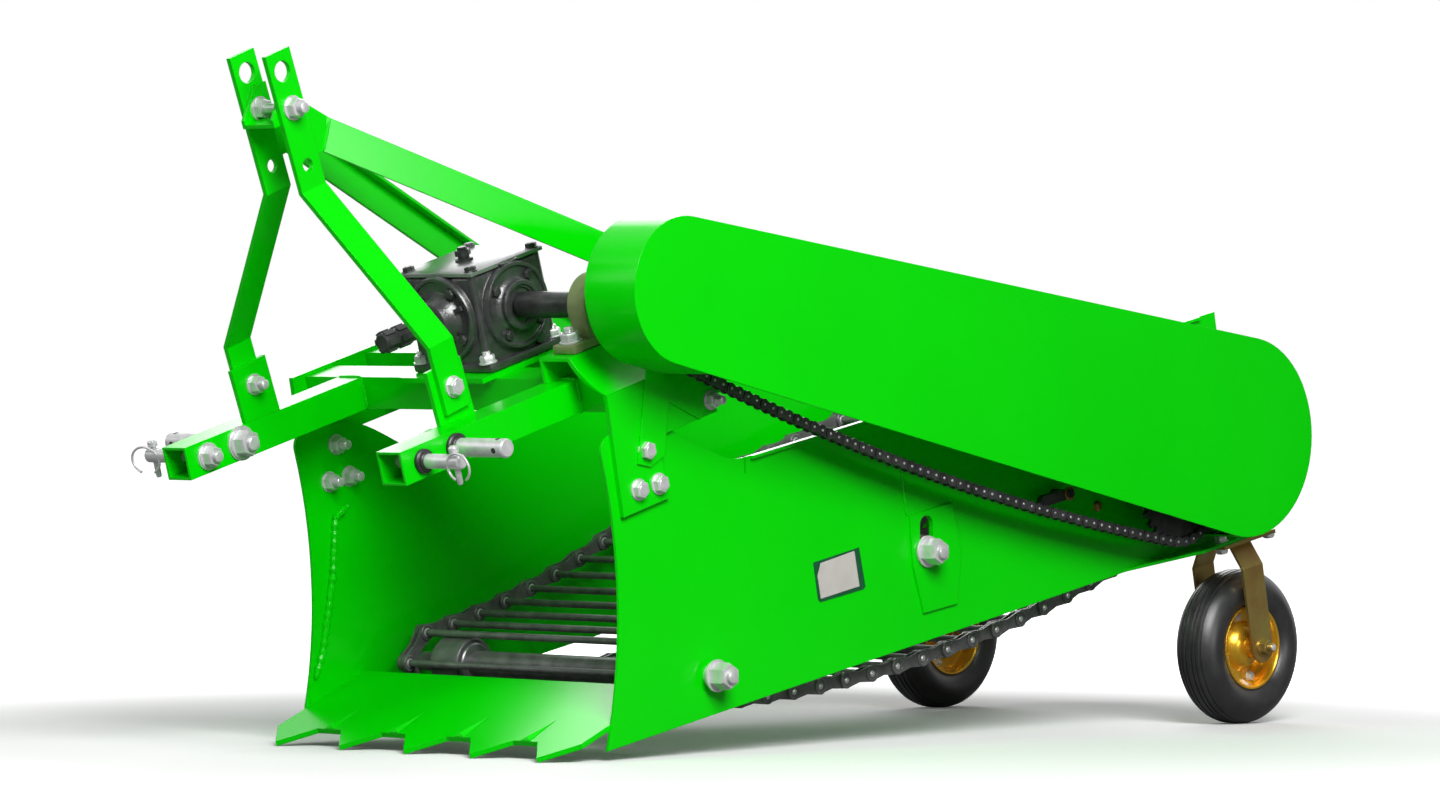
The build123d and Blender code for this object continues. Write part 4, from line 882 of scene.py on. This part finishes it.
def roller_ends():
    """Spacers, washers, thick nuts and stud ends of the roller axles outside the side plates."""
    mesh = bmesh.new()
    stud = [(0, 30), (10.6, 30), (11, 31), (10.4, 32.5), (11, 34), (10.2, 36), (8.5, 37), (0, 37)]
    for node, seat, spacer in (("front_roller", PLATE_OUTER, 10), ("support_roller", DOUBLER_OUTER, 1)):
        for side in (1, -1):
            root = place(TO_FRAME, side * seat, *drawn(node), outward(side))
            cylinder(mesh, root, 18, 0, spacer, 28)
            end = lifted(root, spacer)
            washer(mesh, end, 24.5, 3.5)
            hex_head(mesh, lifted(end, 3.5), 20.5, 27)
            lathe(mesh, end, stud, 28)
    piece("axle_nuts", mesh, "bright_zinc")


def rollers():
    """Lipped drums, polished collars, axles and tubes of the web's two rollers."""
    hubs = bmesh.new()
    face = [(0, -29), (33, -29), (34.5, -30), (37.5, -30), (39.4, -28),
            (39.4, 28), (37.5, 30), (34.5, 30), (33, 29), (0, 29)]
    collar = [(0, -34), (29.5, -34), (32, -32), (32, 32), (29.5, 34), (0, 34)]
    for node in ("front_roller", "support_roller"):
        mesh = bmesh.new()
        middle = drawn(node)
        axis = place(TO_FRAME, 0, *middle, ALONG_X)
        for radius, half in ((14.8, 333), (20, 172)):
            cylinder(mesh, axis, radius, -half, half, 28)
        for side in (1, -1):
            drum = place(TO_FRAME, side * DRUM_X, *middle, ALONG_X)
            lathe(mesh, drum, face, 56)
            lathe(hubs, drum, collar, 40)
        piece(node + "_drums", mesh, "dark_steel", replaced=(node,), look=WEB_STEEL_PAINTED_LIGHT)
    piece("drum_hubs", hubs, "dark_steel", look=POLISHED)


def link_pins():
    """Bright lower-link pins with dark collars and inner nuts."""
    collars = bmesh.new()
    for name, s, radius, reach in LINK_PINS:
        mesh = bmesh.new()
        for side in (1, -1):
            pin = place(HITCH, side * (ARM_X + ARM_HALF), s, 0, outward(side))
            lathe(mesh, pin, [(0, -62), (radius, -62), (radius, reach - 2.5), (radius - 2, reach),
                              (0, reach)], 36)
            lathe(collars, pin, [(0, 0), (radius + 7, 0), (radius + 7, 5), (radius + 5, 7),
                                 (radius + 3, 7.5), (radius + 3, 10.5), (radius + 1.5, 12), (0, 12)], 32)
            inner = place(HITCH, side * (ARM_X - ARM_HALF), s, 0, outward(-side))
            washer(mesh, inner, radius * 1.9, 3)
            nut(mesh, lifted(inner, 2), radius * 1.6, 8)
        piece("link_pins_" + name, mesh, "bright_zinc", replaced=("hitch_pins_" + name,))
    piece("pin_collars", collars, "dark_steel")


def pin_cross_hole_shade():
    """Dark steel rods through the rear link pins' ends, each way across: their dark ends are painted
    shade for the pins' cross holes.
    """
    mesh = bmesh.new()
    _, s, radius, reach = LINK_PINS[1]
    start = radius + 0.2
    for side in (1, -1):
        x = side * (ARM_X + ARM_HALF + reach - 16)
        for bore in (place(HITCH, x, s, -start), place(HITCH, x, s + start, 0, FORWARD)):
            cylinder(mesh, bore, 4.2, 0, 2 * radius + 0.4, 16)
    piece("pin_cross_hole_shade", mesh, "dark_steel")


def lynch_pins():
    """Lynch pins through the front link pins, with their spring rings."""
    mesh = bmesh.new()
    s = LINK_PINS[0][1]
    for side, swing in ((1, 22), (-1, 30)):
        x = side * (ARM_X + ARM_HALF + 68)
        lathe(mesh, place(HITCH, x, s, 0), [(0, -34), (3.2, -34), (4.4, -31), (4.4, 13), (7.5, 14),
                                            (7.5, 21), (5, 24), (0, 24)], 16)
        turns = [radians(-60) + radians(300) * index / 27 for index in range(28)]
        ring = [HITCH @ Vector((x + side * (12 + swing * cos(turn)), s - 9, 21 * sin(turn) - 6))
                for turn in turns]
        tube(mesh, ring, [1.9 * MM] * len(ring), Vector((0, 1, 0.05)))
    piece("lynch_pins", mesh, "bright_zinc")


def welds():
    """Weld beads where plates, tubes and stays meet."""
    mesh = bmesh.new()
    for side in (1, -1):
        x = side * ARM_X
        for t in (ARM_HALF, -ARM_HALF):
            ends = [HITCH @ Vector((x + dx, ARM_END_S, t)) for dx in (-ARM_HALF, ARM_HALF)]
            bead(mesh, ends, ARM_BEAD, ARM_END_S + t)
        for dx in (-ARM_HALF, ARM_HALF):
            ends = [HITCH @ Vector((x + dx, ARM_END_S - 1, t)) for t in (-ARM_HALF, ARM_HALF)]
            bead(mesh, ends, ARM_BEAD, dx)
        gusset = [(64.8, 394.1), (35.7, 352.5)]
        bead(mesh, [MAST @ Vector((side * BAR_OUTER, n, m)) for n, m in gusset], 0.0030, side)
        inside = [(187, 362), (159, 342), (155, 256), (145, 198), (135, 139), (119, 95)]
        bead(mesh, [at(side * 322, y, z) for y, z in inside], 0.0068, side * 3)
    seam = [(732, 421), (737, 389), (746, 349)]
    bead(mesh, [at(PLATE_OUTER + 0.4, y, z) for y, z in seam], 0.0034, 7)
    piece("weld_beads", mesh, "green_paint")


def share_ridges():
    """Low folded ridges that run back from the gaps between the share's teeth."""
    mesh = bmesh.new()
    for x in (-210, -70, 70, 210):
        spots = ((x - 11, 51, 8), (x + 11, 51, 8), (x, 122, 8.1), (x, 56, 13))
        corners = [mesh.verts.new(SHARE @ Vector(spot)) for spot in spots]
        for trio in ((0, 1, 3), (1, 2, 3), (2, 0, 3), (0, 2, 1)):
            mesh.faces.new([corners[index] for index in trio])
    piece("share_ridges", mesh, "green_paint")


def name_plate():
    """Bare name plate with a dark border on the left side."""
    out = TO_FRAME @ SIDEWAYS
    mesh = bmesh.new()
    border = [(535, 282), (637, 303), (652, 243), (647, 239), (551, 222), (546, 226)]
    prism(mesh, out, border, PLATE_OUTER, PLATE_OUTER + 0.8)
    piece("plate_border", mesh, "green_paint", look=DARK_GREEN)
    mesh = bmesh.new()
    plate = [(551, 281), (626, 298), (638, 244), (552, 227), (544, 262)]
    prism(mesh, out, plate, PLATE_OUTER + 0.5, PLATE_OUTER + 1.3)
    piece("bare_plate", mesh, "bright_zinc", look=PALE_PLATE)


def chain_tightener():
    """Lever behind the lower strand, its pivot pin, and the bolts that hold it."""
    mesh = bmesh.new()
    pivot = (1088, 379)
    lever = [(1020, 364), (1028, 358), (1092, 371), (1097, 378), (1092, 387), (1028, 376)]
    prism(mesh, TO_FRAME @ SIDEWAYS, lever, 352, 362)
    cylinder(mesh, place(TO_FRAME, PLATE_OUTER, *pivot, ALONG_X), 7, 0, 38, 20)
    piece("tightener_lever", mesh, "dark_steel")
    mesh = bmesh.new()
    washer(mesh, place(TO_FRAME, 362, *pivot, ALONG_X), 11, 3)
    bolt(mesh, place(TO_FRAME, PLATE_OUTER, 1193, 357, ALONG_X), 8)
    piece("tightener_bolts", mesh, "yellow_zinc")


# Stage, light and camera

FLOOR_SIZE = 60
FLOOR_SEEN = (0.97, 0.97, 0.97)
FLOOR_BOUNCE = (0.24, 0.24, 0.24)
FLOOR_LIFT = 0.05
FADE_START = 1.1
FADE_END = 2.3
AMBIENT = 0.12
BACKDROP = (-0.68, 0.65, 0.34)
CAMERA_AT = (7431.7, -7127.3, 628.9)
CAMERA_YAW = radians(43.6)
CAMERA_PITCH = radians(0.6)
CAMERA_ROLL = radians(0.2)
LENS = 173.08


def floor_material():
    """White that keeps shadows near the machine, glows further out and reflects little light."""
    mat, tree, shader = new_material("floor_white")
    link = tree.links.new
    shader.inputs["Roughness"].default_value = 0.9
    shader.inputs["Specular IOR Level"].default_value = 0.0
    shader.inputs["Emission Color"].default_value = (1, 1, 1, 1)
    coords = shader_node(tree, "TexCoord")
    distance = shader_node(tree, "VectorMath", operation="LENGTH")
    link(coords.outputs["Object"], distance.inputs[0])
    far = shader_node(tree, "MapRange", {"From Min": FADE_START, "From Max": FADE_END,
                                         "To Min": FLOOR_LIFT, "To Max": 1.0},
                      interpolation_type="SMOOTHSTEP")
    link(distance.outputs["Value"], far.inputs["Value"])
    paths = shader_node(tree, "LightPath")
    tint = shader_node(tree, "Mix", {6: (*FLOOR_BOUNCE, 1), 7: (*FLOOR_SEEN, 1)}, data_type="RGBA")
    link(paths.outputs["Is Camera Ray"], tint.inputs[0])
    link(tint.outputs[2], shader.inputs["Base Color"])
    seen = shader_node(tree, "Math", operation="MULTIPLY")
    link(far.outputs["Result"], seen.inputs[0])
    link(paths.outputs["Is Camera Ray"], seen.inputs[1])
    link(seen.outputs["Value"], shader.inputs["Emission Strength"])
    return mat


def stage_floor():
    """Pale floor that runs far past the machine."""
    mesh = bmesh.new()
    bmesh.ops.create_grid(mesh, x_segments=1, y_segments=1, size=FLOOR_SIZE)
    data = bpy.data.meshes.new("floor")
    mesh.to_mesh(data)
    mesh.free()
    data.materials.append(floor_material())
    floor = linked("floor", data)


def surround():
    """World that is white to the camera, graded in reflections and dim as a light."""
    world = bpy.data.worlds.new("white_surround")
    bpy.context.scene.world = world
    world.use_nodes = True
    tree = world.node_tree
    link = tree.links.new
    ground = tree.nodes["Background"]
    ground.inputs["Color"].default_value = (1, 1, 1, 1)
    sky = shader_node(tree, "TexCoord")
    facing = shader_node(tree, "VectorMath", {1: BACKDROP}, operation="DOT_PRODUCT")
    link(sky.outputs["Generated"], facing.inputs[0])
    mirrored = shader_node(tree, "MapRange", {"From Min": 0.25, "From Max": 0.80,
                                              "To Min": 0.22, "To Max": 1.0},
                           interpolation_type="SMOOTHSTEP")
    link(facing.outputs["Value"], mirrored.inputs["Value"])
    paths = shader_node(tree, "LightPath")
    glossy = shader_node(tree, "Mix", {"A": AMBIENT})
    link(paths.outputs["Is Glossy Ray"], glossy.inputs["Factor"])
    link(mirrored.outputs["Result"], glossy.inputs["B"])
    strength = shader_node(tree, "Math", operation="MAXIMUM")
    link(glossy.outputs["Result"], strength.inputs[0])
    link(paths.outputs["Is Camera Ray"], strength.inputs[1])
    link(strength.outputs["Value"], ground.inputs["Strength"])


def lamp(name, spot, target, size, power):
    """Square soft lamp aimed at a point."""
    data = bpy.data.lights.new(name, "AREA")
    data.shape = "SQUARE"
    data.size = size
    data.energy = power
    thing = linked(name, data)
    thing.location = spot
    aim = Vector(target) - Vector(spot)
    thing.rotation_euler = aim.to_track_quat("-Z", "Y").to_euler()
    return thing


def lights():
    """Key, fill and back lamps, and a small one that is seen only as a reflection."""
    middle = (0, 0, 0.4)
    lamp("key", (4.9, -3.0, 4.1), middle, 3.2, 508)
    lamp("fill", (-2.5, -4.5, 3.0), middle, 3.0, 50)
    lamp("back", (-3.4, 3.6, 3.2), middle, 3.5, 120)
    reflector = lamp("reflector", (5.3, 0.15, 0.9), (0, -0.9, 0.95), 0.5, 32)
    reflector.visible_diffuse = False


def camera():
    """Long lens at the machine's front left, near the floor."""
    ahead = Vector((-sin(CAMERA_YAW) * cos(CAMERA_PITCH), cos(CAMERA_YAW) * cos(CAMERA_PITCH),
                    -sin(CAMERA_PITCH)))
    right = ahead.cross(Vector((0, 0, 1))).normalized()
    up = right.cross(ahead)
    turned_right = right * cos(CAMERA_ROLL) + up * sin(CAMERA_ROLL)
    turned_up = up * cos(CAMERA_ROLL) - right * sin(CAMERA_ROLL)
    data = bpy.data.cameras.new("camera")
    data.sensor_width = 36
    data.lens = LENS
    data.clip_end = 300
    thing = linked("camera", data)
    turn = Matrix((turned_right, turned_up, -ahead)).transposed().to_4x4()
    thing.matrix_world = Matrix.Translation(at(*CAMERA_AT)) @ turn
    bpy.context.scene.camera = thing


for build in (drive_chain, sprockets, rod_web, wheels, axle_bolts,
              gearbox_casting, gearbox_cover, gearbox_bolts, splined_shaft, pillow_block,
              frame_bolts, mast_bolts, fork_base_bolts, rollers, roller_ends,
              link_pins, pin_cross_hole_shade, lynch_pins, rear_bearing_bolts,
              welds, share_ridges, name_plate, chain_tightener,
              stage_floor, surround, lights, camera):
    build()
bpy.context.scene.view_settings.view_transform = "Standard"
